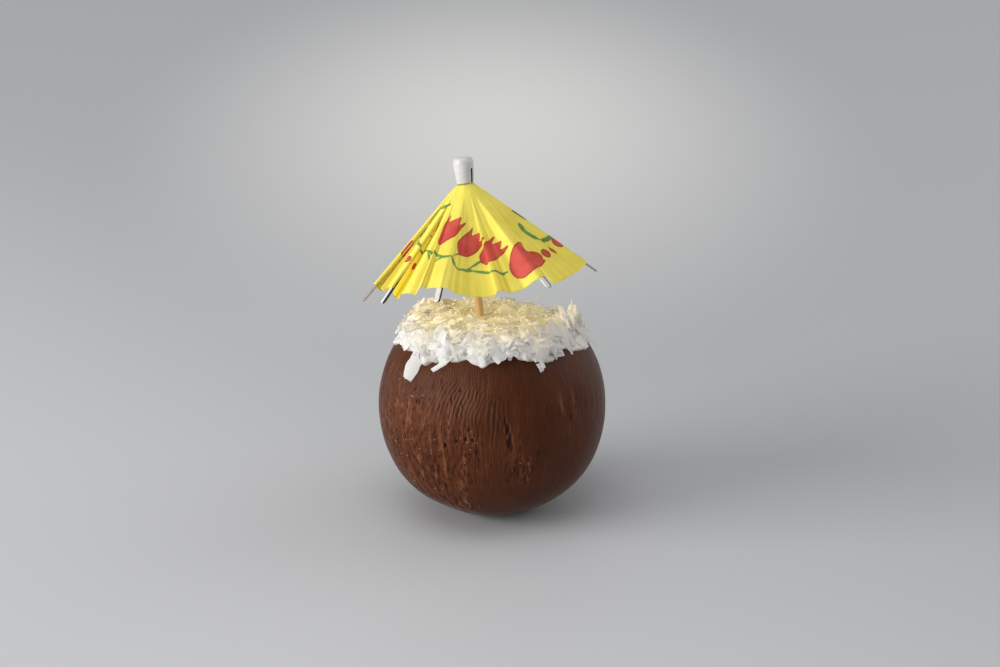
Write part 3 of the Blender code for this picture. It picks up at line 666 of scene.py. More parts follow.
coconut = {
    "cover": 0.75 * mm,
    "start": 0.09,
    "columns": 430,
    "rows": 104,
    "lump": 0.85 * mm,
    "lumpSize": 2.6 * mm,
    "tucks": ((0.86, 1.2), (0.95, 0.8)),
    "root": 18.0 * mm,
    # the heap's own rises and dips: azimuth, half width, share up the mound, half width of that and height
    "heaps": ((350, 17, 0.46, 0.26, 4.2), (160, 46, 0.58, 0.34, 2.2), (40, 46, 0.60, 0.38, -1.1)),
    "strewn": {
        "coconut_shreds": (10, (5.0, 9.5), (1.9, 3.3), 0.60, 0.38, 7.0, (0.7, 1.15), 0.40),
        "coconut_flakes": (9, (2.8, 5.4), (1.2, 2.1), 0.50, 0.20, 10.0, (0.6, 1.1), 0.40),
        "coconut_threads": (8, (3.4, 7.0), (0.60, 1.00), 0.42, 0.08, 13.0, (0.6, 1.1), 0.50),
    },
    "stations": 6,
    "longThickness": 0.42,
    "longTwist": (-0.25, 0.25),
    "longTaper": (0.2, 0.45),
    "longLitYellow": (52.0, 12.0),  # painted light: long shreds turn from white to the lit yellow of the top between these angles
    "longStations": 13,
    "longSides": 8,
    # long shreds: azimuth, angle from the cake's axis, height over the coating, heading (0 runs down the
    # ball, 90 to the left), pitch, roll, length, width and curl
    "longShreds": (
        (225, 59.5, 2.1, 23, -7, -32, 13.6, 4.4, 0.02), (220, 65, 0.9, 6, -3, 0, 6.0, 0.5, -0.08),
        (246.2, 55.8, 2.1, 40, -5, 0, 14.0, 1.9, 0.02), (296, 53.5, 2.2, -16, -4, 0, 11.0, 1.5, 0.02),
        (297.5, 60.6, 1.0, -20, 0, 0, 2.8, 1.9, 0.25), (318.5, 51, 2.1, -14, 0, 0, 9.0, 1.2, 0.03),
        (351, 47.5, 0.9, 0, 38, 20, 9.5, 2.0, -0.03), (349, 51.5, 1.4, -20, 4, 20, 12.0, 1.8, -0.03),
        (350, 40.5, 2.2, 176, 52, 70, 7.0, 2.2, 0.06), (340, 38, 2.2, 150, 46, 50, 6.6, 2.4, 0.07),
        (357, 42.5, 2.0, -150, 54, 60, 7.0, 2.2, 0.07), (344, 43, 2.2, 165, 42, 55, 7.2, 2.0, 0.06),
        (349, 39, 4.0, 172, 66, 60, 6.0, 0.8, 0.05), (319, 26, 3.4, -65, 26, 0, 6.0, 0.5, -0.05),
        (335, 41, 2.6, 140, 30, 40, 6.0, 1.8, 0.07), (2, 46, 2.0, 170, 40, 60, 6.5, 1.8, 0.06),
        (190, 47, 1.0, -25, 10, 10, 9.0, 1.7, 0.05), (184, 38.5, 2.0, 150, 20, 40, 6.0, 1.5, 0.06),
        (172, 37, 2.4, -160, 22, 40, 6.0, 1.5, 0.06), (256, 48.5, 2.0, -8, -2, 0, 8.0, 2.6, 0.05),
        (268, 51.5, 1.8, 24, -4, 0, 8.5, 2.6, 0.05), (285, 47, 2.2, 0, -2, 0, 5.0, 1.5, 0.03),
        (306, 46, 1.9, -14, -2, 0, 9.0, 2.0, 0.05), (312, 48.5, 1.6, 6, -4, 10, 11.0, 3.2, 0.04),
        (321, 45.5, 1.9, -8, -2, 10, 10.0, 2.6, 0.05), (328, 47.5, 1.6, 8, 0, 20, 9.0, 2.0, 0.04),
        (60, 57, 1.8, 12, -4, 0, 12.0, 2.8, 0.04), (118, 56, 1.8, -15, -3, 0, 11.0, 2.4, 0.04),
        (95, 50, 2.0, 30, 0, 0, 10.0, 3.0, 0.04),
    ),
}


def coconutFinish():  # white at the heap's edge, with painted light: lighter and pale yellow up on top, as under the yellow paper
    material, tree = newFinish("coconutFlesh", 0.55, 0.25)
    own = field(tree, "tone")
    patch = times(tree, maths(tree, "SUBTRACT", noise(tree, 230.0), 0.5), 0.9)
    # painted light: the rise up the heap makes the flesh lighter and yellower toward the top, standing in for
    # light through the yellow paper canopy
    mark = plus(tree, plus(tree, field(tree, "rise"), patch),
                times(tree, maths(tree, "SUBTRACT", own, 0.5), 0.42))
    base = ramp(tree, mark, (0.18, (0.74, 0.732, 0.720)), (0.42, (0.79, 0.764, 0.712)),
                (0.70, (0.85, 0.812, 0.715)), (1.0, (0.93, 0.89, 0.765)))
    shade = plus(tree, 0.94, times(tree, own, 0.08))
    shade = made(tree, "ShaderNodeCombineColor", {0: shade, 1: shade, 2: shade})
    toned = mix(tree, 1.0, base, shade, "MULTIPLY")
    letLightThrough(material, (0.91, 0.90, 0.88), toned, 0.24)
    return paint(material, toned, (noise(tree, 1500.0, 3.0), 0.25, 0.0002))


def makeCoconutCore(material):
    columns, size, start, top = coconut["columns"], coconut["lumpSize"], coconut["start"], mound["topShare"]
    rise = np.repeat(np.linspace(start, top, coconut["rows"]), columns)
    ring = ringPoints(np.tile(turns(columns), coconut["rows"])) * mound["edgeReach"]
    rise = rise + 0.10 * softNoise(ring, 4.0, 51, 2) * (top - rise) / (top - start)
    azimuth, points, out = moundPoints(columns, rise)
    lumps = softNoise(points, size, 52) + 0.30 * softNoise(points, size * 0.45, 53)
    lumps += 0.10 * softNoise(points, size * 0.22, 54)
    height = coconut["cover"] * np.clip((rise - start + 0.12) * 9.0, 0.2, 1.0) + coconut["lump"] * lumps
    for centre, halfWidth, middle, halfRise, heap in coconut["heaps"]:
        height += heap * mm * turnHill(np.degrees(azimuth), centre, halfWidth) * hill(rise, middle, halfRise)
    world, faces = moundShell(points + out * height[:, None], columns, coconut["tucks"], coconut["root"])
    lead = np.zeros(len(coconut["tucks"]) * columns)
    values = {
        "rise": np.concatenate([lead, rise, [0.0, 1.0]]),
        "cover": np.concatenate([lead, np.ones(len(rise)), [0.0, 1.0]]),
        "tone": np.full(len(world), 0.30),
    }
    return addPiece("coconut_core", world, faces, material, values)


def makeLongShreds(material):
    draw, stations, sides = random.Random(61), coconut["longStations"], coconut["longSides"]
    points, faces, rises = [], [], []
    thickness, (white, yellow) = coconut["longThickness"], np.radians(coconut["longLitYellow"])
    for azimuth, angle, height, heading, pitch, roll, length, width, curl in coconut["longShreds"]:
        azimuth, angle, heading, pitch, roll = np.radians([azimuth, angle, heading, pitch, roll])
        out, down = cakeWay(azimuth, angle), cakeWay(azimuth, angle + math.pi / 2.0)
        along = down * math.cos(heading) + np.cross(down, out) * math.sin(heading)
        along = along * math.cos(pitch) + out * math.sin(pitch)
        side = np.array(Matrix.Rotation(roll, 3, Vector(along)) @ Vector(np.cross(out, along)))
        side /= np.linalg.norm(side)
        twist, taper = draw.uniform(*coconut["longTwist"]), draw.uniform(*coconut["longTaper"])
        own = stripPoints(length, width, thickness, curl, twist, taper, stations, sides, draw) * mm
        first = len(points) * stations * sides
        faces += [[corner + first for corner in face] for face in stripFaces(stations, sides)]
        place = out * (cake["radius"] + height * mm)
        points.append(cakeToWorld(place + own @ np.stack([along, side, np.cross(along, side)])))
        # painted light: a higher rise for shreds high on the mound, so the ramp gives them the yellow light
        # of the top
        rises += [0.10 + 0.9 * max(0.0, (white - angle) / (white - yellow))] * len(own)
    values = {"rise": rises, "tone": np.full(len(rises), 0.6)}
    return addPiece("coconut_long_shreds", np.vstack(points), faces, material, values, 45.0)


def makeCoconut():
    material, tree = coconutFinish(), scatterTree("strewOver")
    pieces = [makeCoconutCore(material)]
    for number, (name, sizes) in enumerate(coconut["strewn"].items()):
        seeds = (71 + number, 4 + number)
        pieces.append(strewPiece(name, pieces[0], tree, material, coconut["stations"], seeds, sizes))
    for piece in [*pieces, makeLongShreds(material)]:
        finishPiece(piece, "coconut", "shredded_coconut")


makeCoconut()


# the parasol's own frame

parasol = {
    "ring": (-8.06, 9.19, 101.06),
    "leanLeftDegrees": 6.4,
    "leanBackDegrees": 12.7,
    "ringRadius": 2.3,
    "slopeDegrees": 40.8,
    "ribDegrees": (201.5, 220.5, 251.8, 306.2, 355.5, 407.0, 458.5, 510.0),
    "ribLength": 46.0,
    "ribHalfWidth": 0.95,
    "ribTaper": 0.09,
}
slopeAngle = math.radians(parasol["slopeDegrees"])
tipHeight = parasol["ringRadius"] * math.tan(slopeAngle)


def parasolAxes():  # rows: to the right, to the back and up the stick
    up = Vector((-math.tan(math.radians(parasol["leanLeftDegrees"])),
                 math.tan(math.radians(parasol["leanBackDegrees"])), 1.0)).normalized()
    across = (Vector((1.0, 0.0, 0.0)) - up * up.x).normalized()
    return np.array([across, up.cross(across), up])


def parasolToWorld(points):  # from mm to the world's metres
    return (np.asarray(points) @ parasolAxes() + np.array(parasol["ring"])) * mm


# the printed paper canopy

canopy = {
    "inner": 3.1,
    "radius": 43.75,
    "shift": 1.3,
    "shiftDegrees": 325.0,
    "thickness": 0.09,
    "offset": 0.30,
    "columns": 600,
    "rows": 76,
    "foldStart": 8.0,
    "foldFull": 19.0,
    "raggedness": 0.16,
    "raggedStart": 36.0,
    "crinkle": 0.11,
    # creases between two ribs: how far across the gore, and extra slope in degrees
    "creases": (
        ((-0.12, 2.8), (0.10, 4.4), (0.26, 1.6), (0.42, 3.8), (0.55, 0.2), (0.68, 2.6), (0.82, 0)),
        ((-0.20, 5.4), (-0.28, 7.8), (-0.24, 8.7), (-0.10, 7.4), (0.08, 4.5), (0.24, 3.2), (0.37, 3.1),
         (0.44, 4.7), (0.57, 1.7), (0.71, -1.9), (0.75, 0.8), (0.84, 0)),
        ((0.10, 1.0), (0.118, 2.8), (0.15, 4.2), (0.20, 4.8), (0.27, 6.4), (0.373, 7.2), (0.478, 7.6),
         (0.54, 7.4), (0.543, 4.9), (0.61, 4.9), (0.69, 6.7), (0.75, 5.9), (0.835, 5.5), (0.87, 4.0)),
        ((0.07, 1.4), (0.11, 2.4), (0.17, 4.2), (0.27, 6.0), (0.36, 5.7), (0.44, 4.2), (0.56, 3.6),
         (0.65, 2.2), (0.75, 3.4), (0.87, 1.6)),
        ((0.12, 3), (0.25, 1.2), (0.31, 3.4), (0.38, 4.6), (0.52, 3.4), (0.66, 6), (0.79, 3), (0.9, 2.6)),
        ((0.1, 2.2), (0.24, 5.2), (0.3, 3.6), (0.36, 4), (0.5, 7.2), (0.62, 5), (0.76, 4.8), (0.89, 1.4)),
        ((0.11, 3.4), (0.22, 3), (0.37, 6.4), (0.48, 4.2), (0.55, 5.6), (0.64, 5), (0.77, 1.8), (0.9, 2.6)),
        ((0.12, 1.4), (0.23, 4.2), (0.4, 5.8), (0.55, 7.4), (0.66, 5.2), (0.72, 5.6), (0.8, 4.6),
         (0.91, 1.6)),
    ),
    # tulips: place counted in gores, distance of the foot from the tip, lean to the right in degrees,
    # height and width
    "tulips": (
        (1.85, 26.8, 17, 11.4, 5.4), (2.165, 29.8, 33, 11.0, 6.8), (2.45, 32.4, 50, 11.2, 6.8),
        (2.80, 40.4, 50, 17.0, 10.2), (4.30, 28.0, 20, 10.5, 6.2), (4.66, 31.0, 35, 11.0, 6.8),
        (5.05, 34.0, 48, 11.5, 7.0), (6.10, 27.5, 18, 11.0, 6.0), (6.45, 31.0, 34, 10.8, 6.8),
        (6.84, 35.0, 48, 12.0, 7.4),
    ),
    # dots: place, distance, radius
    "dots": (
        (3.34, 34.6, 2.0), (3.52, 34.8, 1.6), (3.70, 34.9, 1.7), (3.95, 34.2, 1.9), (0.12, 28.1, 2.6),
        (0.97, 32.6, 1.1), (1.25, 32.0, 1.0), (5.43, 35.4, 1.7), (5.66, 36.0, 1.3), (7.24, 35.8, 1.7),
        (7.48, 36.4, 1.3), (7.60, 30.5, 1.6),
    ),
    # vines: half width, then places and distances along each
    "vines": (
        (0.40, (0.86, 23.4), (0.92, 26.1), (1.06, 27.6), (1.55, 28), (1.85, 30.7), (1.97, 32), (2.05, 31.8)),
        (0.36, (2.05, 31.8), (2.10, 34.6), (2.16, 35.5), (2.38, 35.3), (2.54, 37), (2.60, 36.9),
         (2.68, 38), (2.74, 37.5)),
        (0.34, (2.26, 35.2), (2.38, 32.3), (2.46, 31.6)), (0.32, (1.55, 28), (1.62, 30.8)),
        (0.32, (1.97, 32), (1.89, 33.2)), (0.34, (2.05, 31.8), (2.16, 29.6)),
        (0.50, (1.52, 10.8), (1.10, 11.2), (0.90, 12.6), (0.60, 14.2), (0.95, 15), (0.55, 16.8),
         (0.80, 18.2)),
        (0.80, (0.75, 12.9), (0.40, 15.2)), (0.70, (0.80, 20.4), (0.55, 22.4), (0.86, 23.4)),
        (0.78, (3.62, 22.8), (3.56, 24.5), (3.58, 27), (3.66, 30), (3.84, 31.3), (4.06, 32)),
        (0.60, (3.96, 18), (4.00, 22)),
        (0.38, (4.10, 30), (4.28, 29.4), (4.45, 33.5), (4.66, 32), (4.85, 36.5), (5.05, 35), (5.30, 38)),
        (0.38, (5.85, 29), (6.08, 29.2), (6.25, 33), (6.45, 32.5), (6.65, 37), (6.84, 36), (7.15, 38.5)),
        (0.45, (5.60, 20), (5.55, 23), (5.70, 26.5), (5.95, 27)), (0.45, (7.4, 14), (7.2, 17), (7.5, 20.5)),
    ),
    # painted shadow lines beside ribs: place, distance where each begins, strength
    "ribShadowLines": ((1, 32, 0.6), (2, 28, 0.3), (4, 32, 0.3)),
    "ribLineAside": 0.75,
    "ribLineWidth": 0.28,
}
goreStarts = np.array(parasol["ribDegrees"])
goreWidths = np.diff([*goreStarts, goreStarts[0] + 360.0])


def landShare(reach, width):  # share of a gore that lies flat on one rib
    half = np.minimum(parasol["ribHalfWidth"], parasol["ribTaper"] * reach) + 0.25
    return np.minimum(half / (reach * math.cos(slopeAngle)) / np.radians(width), 0.3)


def paperRun():  # gore, share across it, extra slope and length along the rim, evenly spaced round the paper
    stepsPerGore, total, columns = 400, 0.0, []
    for index, creases in enumerate(canopy["creases"]):
        width = goreWidths[index]
        land = float(landShare(canopy["radius"], width))
        stops = np.array([(0.0, 0.0), (land, 0.0), *creases, (1.0 - land, 0.0), (1.0, 0.0)])
        middle = np.radians(parasol["slopeDegrees"] + 0.5 * (stops[1:, 1] + stops[:-1, 1]))
        steps = np.hypot(np.diff(stops[:, 0]) * width * np.cos(middle), np.diff(stops[:, 1]))
        along = np.concatenate([[0.0], np.cumsum(steps)])
        fine = np.linspace(0.0, along[-1], stepsPerGore, endpoint=False)
        columns.append([np.full(len(fine), index), np.interp(fine, along, stops[:, 0]),
                        np.interp(fine, along, stops[:, 1]), total + fine])
        total += along[-1]
    gores, shares, extras, lengths = np.concatenate(columns, axis=1)
    places = np.arange(len(gores)) / stepsPerGore
    even = total * np.arange(canopy["columns"]) / canopy["columns"]
    picked = np.searchsorted(lengths, even).clip(0, len(lengths) - 1)
    turn, extra = (gores + shares)[picked], extras[picked]
    for _ in range(2):  # soften the creases
        before = np.append(turn[-1] - len(goreStarts), turn[:-1])
        after = np.append(turn[1:], turn[0] + len(goreStarts))
        turn = 0.25 * before + 0.5 * turn + 0.25 * after
        extra = 0.25 * np.roll(extra, 1) + 0.5 * extra + 0.25 * np.roll(extra, -1)
    gore = gores[picked].astype(int)
    return gore, turn - gore, extra, even, lambda place: np.interp(place, places, lengths)


def paperPoints(gore, share, extra, reach):  # azimuth, slope and distance of one ring of the paper
    widths = goreWidths[gore]
    rim, own = landShare(canopy["radius"], widths), landShare(reach, widths)
    inside = own + (share - rim) / (1.0 - 2.0 * rim) * (1.0 - 2.0 * own)
    share = np.where(share < -0.03, share, np.maximum(share, 0.0))  # only a real fold goes back under its rib
    lower, upper = share * own / rim, 1.0 - (1.0 - share) * own / rim
    squeezed = np.select([share < 0.0, share < rim, share > 1.0 - rim], [inside, lower, upper], inside)
    opened = np.clip((reach - canopy["foldStart"]) / (canopy["foldFull"] - canopy["foldStart"]), 0.0, 1.0)
    azimuth = np.radians(goreStarts[gore] + widths * squeezed)
    slope = np.radians(parasol["slopeDegrees"] + extra * opened)
    shift = canopy["shift"] * np.cos(azimuth - math.radians(canopy["shiftDegrees"]))
    return azimuth, slope, reach + shift * (reach - canopy["inner"]) / (canopy["radius"] - canopy["inner"])


def flatPoints(turn, reach):  # the paper laid out flat, in mm
    return np.stack([reach * np.sin(np.radians(turn)), reach * np.cos(np.radians(turn)), 0.0 * turn], axis=-1)


def spotDistance(turn, reach, centre, away):  # mm to the right of a spot of the flat paper, and outward
    right, out, _ = flatPoints(turn - centre, reach).T
    return right, out - away


def tulipField(right, out, lean, height, width):  # how far inside a three-pointed flower, in mm
    lean = math.radians(lean)
    along = -out * math.cos(lean) + right * math.sin(lean)
    across = np.abs(right * math.cos(lean) + out * math.sin(lean))
    share = along / height
    cup = np.sqrt(np.clip(1.0 - ((share - 0.44) / 0.46) ** 2, 0.0, 1.0))
    half = 0.5 * width * np.where(share > 0.44, 1.0 - 0.10 * (share - 0.44), cup)
    horns = height * (0.74 + 0.26 * np.abs(np.cos(math.pi * across / (0.45 * width))) ** 1.3)
    return np.minimum(np.minimum(half - across, horns - along), along + 0.3)


def lineField(flat, stops, arcAt):  # distance from a drawn line, in mm
    best = np.full(len(flat), 99.0)
    places, distances = np.array(stops).T
    points = flatPoints(arcAt(places), distances)
    for _ in range(2):  # cut the corners twice, so the line bends softly
        cuts = [points[:-1] * near + points[1:] * (1.0 - near) for near in (0.75, 0.25)]
        points = np.vstack([points[:1], np.stack(cuts, axis=1).reshape(-1, 3), points[-1:]])
    for first, second in zip(points, points[1:]):
        run = second - first
        share = np.clip(((flat - first) @ run) / (run @ run), 0.0, 1.0)
        best = np.minimum(best, np.linalg.norm(flat - first - share[:, None] * run, axis=1))
    return best


def printFields(turn, reach, arcAt):  # how far inside the red and the green shapes, in mm
    flat = flatPoints(turn, reach)
    wobble = 0.22 * softNoise(flat, 2.2, 81) + 0.10 * softNoise(flat, 0.9, 82)
    red, green = np.full((2, len(turn)), -9.0)
    for place, away, *petal in canopy["tulips"]:
        red = np.maximum(red, tulipField(*spotDistance(turn, reach, arcAt(place), away), *petal))
    for place, away, radius in canopy["dots"]:
        right, out = spotDistance(turn, reach, arcAt(place), away)
        red = np.maximum(red, radius - np.hypot(right, out * 0.88))
    for half, *stops in canopy["vines"]:
        green = np.maximum(green, half - lineField(flat, stops, arcAt))
    return np.clip(red + wobble, -2.0, 2.0), np.clip(green + wobble, -2.0, 2.0)


def paperFinish():
    material, tree = newFinish("printedTissue", 0.62, 0.20)
    flat = field(tree, "flat", "Vector")
    red = field(tree, "red")
    fibre, cloud = noise(tree, 1800.0, 3.0, flat), noise(tree, 130.0, 2.0, flat)
    tone = plus(tree, times(tree, fibre, 0.35), times(tree, cloud, 0.65))
    base = ramp(tree, tone, (0.30, (0.84, 0.755, 0.15)), (0.55, (0.89, 0.820, 0.18)),
                (0.75, (0.91, 0.855, 0.25)))
    # painted shade: the paper is darkened along the sharp folds of its creases
    foldShaded = mix(tree, times(tree, field(tree, "fold"), 0.55), base, (0.62, 0.44, 0.03))
    petal = ramp(tree, cloud, (0.35, (0.62, 0.050, 0.062)), (0.60, (0.72, 0.105, 0.115)))
    petal = mix(tree, fade(tree, red, 0.10, 0.62), (0.42, 0.022, 0.030), petal)
    leaf = ramp(tree, cloud, (0.35, (0.075, 0.24, 0.070)), (0.60, (0.14, 0.36, 0.11)))
    printed = mix(tree, times(tree, fade(tree, field(tree, "green"), -0.14, 0.12), 0.86), foldShaded, leaf)
    printed = mix(tree, times(tree, fade(tree, red, -0.10, 0.10), 0.93), printed, petal)
    # painted shadow: dark lines in the creases beside the ribs
    ribShadowed = mix(tree, times(tree, field(tree, "line"), 0.9), printed, (0.05, 0.032, 0.006))
    letLightThrough(material, (0.89, 0.875, 0.775), ribShadowed, 0.38)
    crease = noise(tree, 900.0, 2.0, stretched(tree, flat, (1.0, 0.08, 1.0)))
    return paint(material, ribShadowed, (crease, 0.5, 0.00030), (fibre, 0.25, 0.00010))


def makeCanopy():
    gore, share, extra, turn, arcAt = paperRun()
    columns, rows, radius = canopy["columns"], canopy["rows"], canopy["radius"]
    raggedStart, offset = canopy["raggedStart"], canopy["offset"]
    edge = canopy["raggedness"] * softNoise(np.stack([turn, 0.0 * turn, 0.0 * turn], axis=-1), 1.7, 93, 2)
    middle, reaches = [], []
    for reach in np.linspace(canopy["inner"], radius, rows):
        azimuth, slope, far = paperPoints(gore, share, extra, np.full(columns, reach))
        far = far + edge * max(0.0, (reach - raggedStart) / (radius - raggedStart))
        wave = np.stack([turn, np.full(columns, reach * 0.10), 0.0 * turn], axis=-1)
        ripple = softNoise(wave, 2.6, 91) + 0.5 * softNoise(wave, 1.3, 92)
        crinkle = canopy["crinkle"] * (reach / radius) * ripple
        middle.append(ringPoints(azimuth, far * np.cos(slope) + offset * math.sin(slopeAngle),
                                 tipHeight + offset * math.cos(slopeAngle) - far * np.sin(slope) + crinkle))
        reaches.append(far)
    lift = np.array([0.0, 0.0, 0.5 * canopy["thickness"]])
    points = np.vstack([ring + lift for ring in middle] + [ring - lift for ring in middle[::-1]])
    reach, spun = np.concatenate(reaches), np.tile(turn, rows)
    red, green = printFields(spun, reach, arcAt)
    line = np.zeros(len(spun))
    for place, start, strength in canopy["ribShadowLines"]:
        aside = np.radians(spun - arcAt(place)) * reach - canopy["ribLineAside"]
        begun = np.clip((reach - start) / 10.0, 0.0, 1.0)
        line = np.maximum(line, strength * np.exp(-(aside / canopy["ribLineWidth"]) ** 2) * begun)
    # painted shade along the folds: how sharply the crease bends, from 10 mm out
    bend = np.abs(np.roll(extra, 2) + np.roll(extra, -2) - 2.0 * extra)
    fold = np.tile(np.clip(bend / 1.2, 0.0, 1.0), rows) * np.clip((reach - 10.0) / 14.0, 0.0, 1.0)
    swept = np.stack([np.radians(spun) * 30.0, reach, 0.0 * spun], axis=-1) * mm
    values = {"red": red, "green": green, "line": line, "fold": fold, "flat": swept}
    for name, numbers in values.items():  # the same on the paper's under side
        folded = numbers.reshape(rows, columns, -1)[::-1].reshape(numbers.shape)
        values[name] = np.concatenate([numbers, folded])
    faces = gridFaces(2 * rows, columns, True)
    piece = addPiece("paper_canopy", parasolToWorld(points), faces, paperFinish(), values)
    finishPiece(piece, "printed_paper", "parasol_canopy")


makeCanopy()


# ribs, stretchers, cap, stick, hub and runner

parts = {
    "ribThickness": 0.42,
    "ribStart": 6.0,
    "ribDrop": 0.40,
    "ribRounding": 0.9,
    "stretcherFoot": (3.7, -22.5),
    "stretcherReach": 22.0,
    "stretcherHalfWidths": (0.4, 0.6),
    "stretcherThickness": 0.45,
    "stickRadius": 1.2,
    "stickTop": 6.2,
    "stickLength": 100.0,
    "stickPoint": 6.0,
    "gap": 0.3,
    "capBottom": 0.5,
    "capHeight": 7.9,
    "slitDegrees": 323.0,
    "slitDeep": (2.05, 3.95),  # from and to, measured from the stick's middle
    "slitWidth": 0.70,
    "slitHeight": 4.4,
    "hub": (3.9, -1.7, 2.6),  # radius, top and height
    "runner": (3.2, -21.0, 7.0),
    "sides": 72,
}


def radialTree(name):  # copies of a shape round the stick, then the whole leaned like the parasol
    tree, given = newTree(name, Shape="Object", Lean="Rotation", Place="Vector")
    turn = made(tree, "ShaderNodeCombineXYZ", {"Z": named(tree, "azimuth")})
    shape = addNode(tree, "GeometryNodeObjectInfo", {"Object": given["Shape"]}).outputs["Geometry"]
    copies = {"Points": given["Geometry"], "Instance": shape, "Rotation": turn}
    copies = made(tree, "GeometryNodeInstanceOnPoints", copies)
    leaned = {"Geometry": copies, "Rotation": given["Lean"], "Translation": given["Place"]}
    leaned = made(tree, "GeometryNodeTransform", leaned)
    return endTree(tree, leaned, given["Material"])


def radialPiece(name, stations, tree, material):  # a strip in the X-Z plane, once for each rib
    points, across = [], []
    for (x, z), half, thick, (upX, upZ) in stations:
        for side, up in ((-1, -1), (-0.86, -1), (0.86, -1), (1, -1), (1, 1), (0.86, 1), (-0.86, 1), (-1, 1)):
            rise = up * thick * (0.72 if abs(side) == 1 else 1.0)
            points.append((x + upX * rise, side * half, z + upZ * rise))
            across.append(side)
    values = {"across": across, "outward": np.repeat([station[0][0] for station in stations], 8)}
    shape = addPiece(name + "_shape", np.array(points) * mm, stripFaces(len(stations), 8), None, values)
    ribs = np.radians(parasol["ribDegrees"])
    spots = addPiece(name + "_spots", np.zeros((len(ribs), 3)), [], None,
                     {"azimuth": ribs, "number": np.arange(len(ribs))})
    piece = growPiece(name, spots, tree, Shape=shape, Lean=Matrix(parasolAxes().T.tolist()).to_euler(),
                      Place=[part * mm for part in parasol["ring"]], Material=material)
    removePieces([spots, shape])
    return piece


def underPaper(reach, below):  # a place under the paper's slope
    return np.array([reach * math.cos(slopeAngle) - below * math.sin(slopeAngle),
                     tipHeight - reach * math.sin(slopeAngle) - below * math.cos(slopeAngle)])


def ribStations():  # centre, half width, half thickness and the way up
    half, taper, rounding = parasol["ribHalfWidth"], parasol["ribTaper"], parts["ribRounding"]
    tip = parasol["ringRadius"] / math.cos(slopeAngle) + parasol["ribLength"]
    stations = []
    end = [tip - near for near in (rounding, 0.5, 0.2, 0.0)]
    for reach in (parts["ribStart"], 8.0, half / taper, 24.0, 38.0, *end):
        past = min(max((reach - tip) / rounding + 1.0, 0.0), 1.0)
        wide = min(half, taper * reach) * (0.45 + 0.55 * math.sqrt(1.0 - past ** 2))
        stations.append((underPaper(reach, parts["ribDrop"]), wide, 0.5 * parts["ribThickness"],
                         (math.sin(slopeAngle), math.cos(slopeAngle))))
    return stations


def stretcherStations():
    foot = np.array(parts["stretcherFoot"])
    head = underPaper(parts["stretcherReach"], parts["ribDrop"] + 0.5 * parts["ribThickness"] + 0.25)
    run = (head - foot) / np.linalg.norm(head - foot)
    first, last = parts["stretcherHalfWidths"]
    return [(foot + (head - foot) * share, first + (last - first) * share, 0.5 * parts["stretcherThickness"],
             (-run[1], run[0])) for share in (0.0, 0.03, 0.5, 0.96, 0.985)]


def ribFinish():
    material, tree = newFinish("cardRib", 0.5, 0.35)
    number = field(tree, "number")
    grain = noise(tree, 900.0, 3.0)
    card = ramp(tree, grain, (0.3, (0.62, 0.60, 0.57)), (0.7, (0.76, 0.75, 0.73)))
    brown = ramp(tree, grain, (0.3, (0.27, 0.220, 0.195)), (0.7, (0.41, 0.350, 0.31)))
    aside = maths(tree, "ABSOLUTE", maths(tree, "SUBTRACT", number, 2.0))
    whiteFaced = maths(tree, "LESS_THAN", aside, 1.5)  # ribs 2 to 4 show their white card
    second = times(tree, maths(tree, "COMPARE", number, 1.0), 0.45)  # rib 2 is dark over half its face
    dark = fade(tree, plus(tree, field(tree, "across"), second), 0.50, 0.66)
    bare = fade(tree, field(tree, "outward"), 27.0, 31.0)  # yellow paper is glued on, except near the end
    plain = mix(tree, bare, (0.56, 0.43, 0.10), mix(tree, whiteFaced, brown, card))
    edge = times(tree, times(tree, dark, bare), whiteFaced)
    edged = mix(tree, edge, plain, (0.022, 0.019, 0.017))
    return paint(material, edged, (noise(tree, 1400.0), 0.3, 0.0001))


def cardFinish():
    material, tree = newFinish("whiteCard", 0.38, 0.5, 0.12, (1.0, 0.95, 0.9), 0.0006)
    base = ramp(tree, noise(tree, 420.0, 3.0), (0.35, (0.57, 0.565, 0.557)), (0.65, (0.64, 0.64, 0.635)))
    return paint(material, base, (noise(tree, 520.0), 0.18, 0.0004), (noise(tree, 3000.0), 0.1, 0.0001))


def stickFinish():
    material, tree = newFinish("birchStick", 0.5, 0.35, 0.06, (1.0, 0.7, 0.4), 0.0006)
    grain = noise(tree, 2600.0, 3.0, stretched(tree, field(tree, "grain", "Vector"), (1.0, 1.0, 0.035)))
    base = ramp(tree, grain, (0.32, (0.48, 0.285, 0.115)), (0.52, (0.64, 0.415, 0.19)),
                (0.72, (0.72, 0.50, 0.255)))
    return paint(material, base, (grain, 0.35, 0.00018))


def turnedPiece(name, profile, material, sides, hollow=True):  # (radius, height) pairs turned round the stick
    points = np.vstack([ringPoints(turns(sides), radius, height) for radius, height in profile])
    faces = gridFaces(len(profile), sides, True) if hollow else stripFaces(len(profile), sides)
    return addPiece(name, parasolToWorld(points), faces, material, {"grain": points * mm})


def capProfile():
    bottom, top = parts["capBottom"], parts["capBottom"] + parts["capHeight"]
    bore, roof = parts["stickRadius"] + parts["gap"], parts["stickTop"] + parts["gap"]
    inside = [(0.05, roof), (bore, roof), (bore, bottom), (2.45, bottom)]
    # radius, and height over the bottom or below the top
    wall = [(2.55, 0.06), (2.60, 0.4), (2.74, 1.5), (2.86, 2.6), (3.0, 4.0)]
    crown = [(3.09, 2.5), (3.10, 1.9), (3.04, 1.3), (2.90, 0.75), (2.62, 0.34), (2.2, 0.12), (1.6, 0.02),
             (0.8, 0.05), (0.05, 0.08)]
    wall = [(radius, bottom + rise) for radius, rise in wall]
    return inside + wall + [(radius, top - drop) for radius, drop in crown]


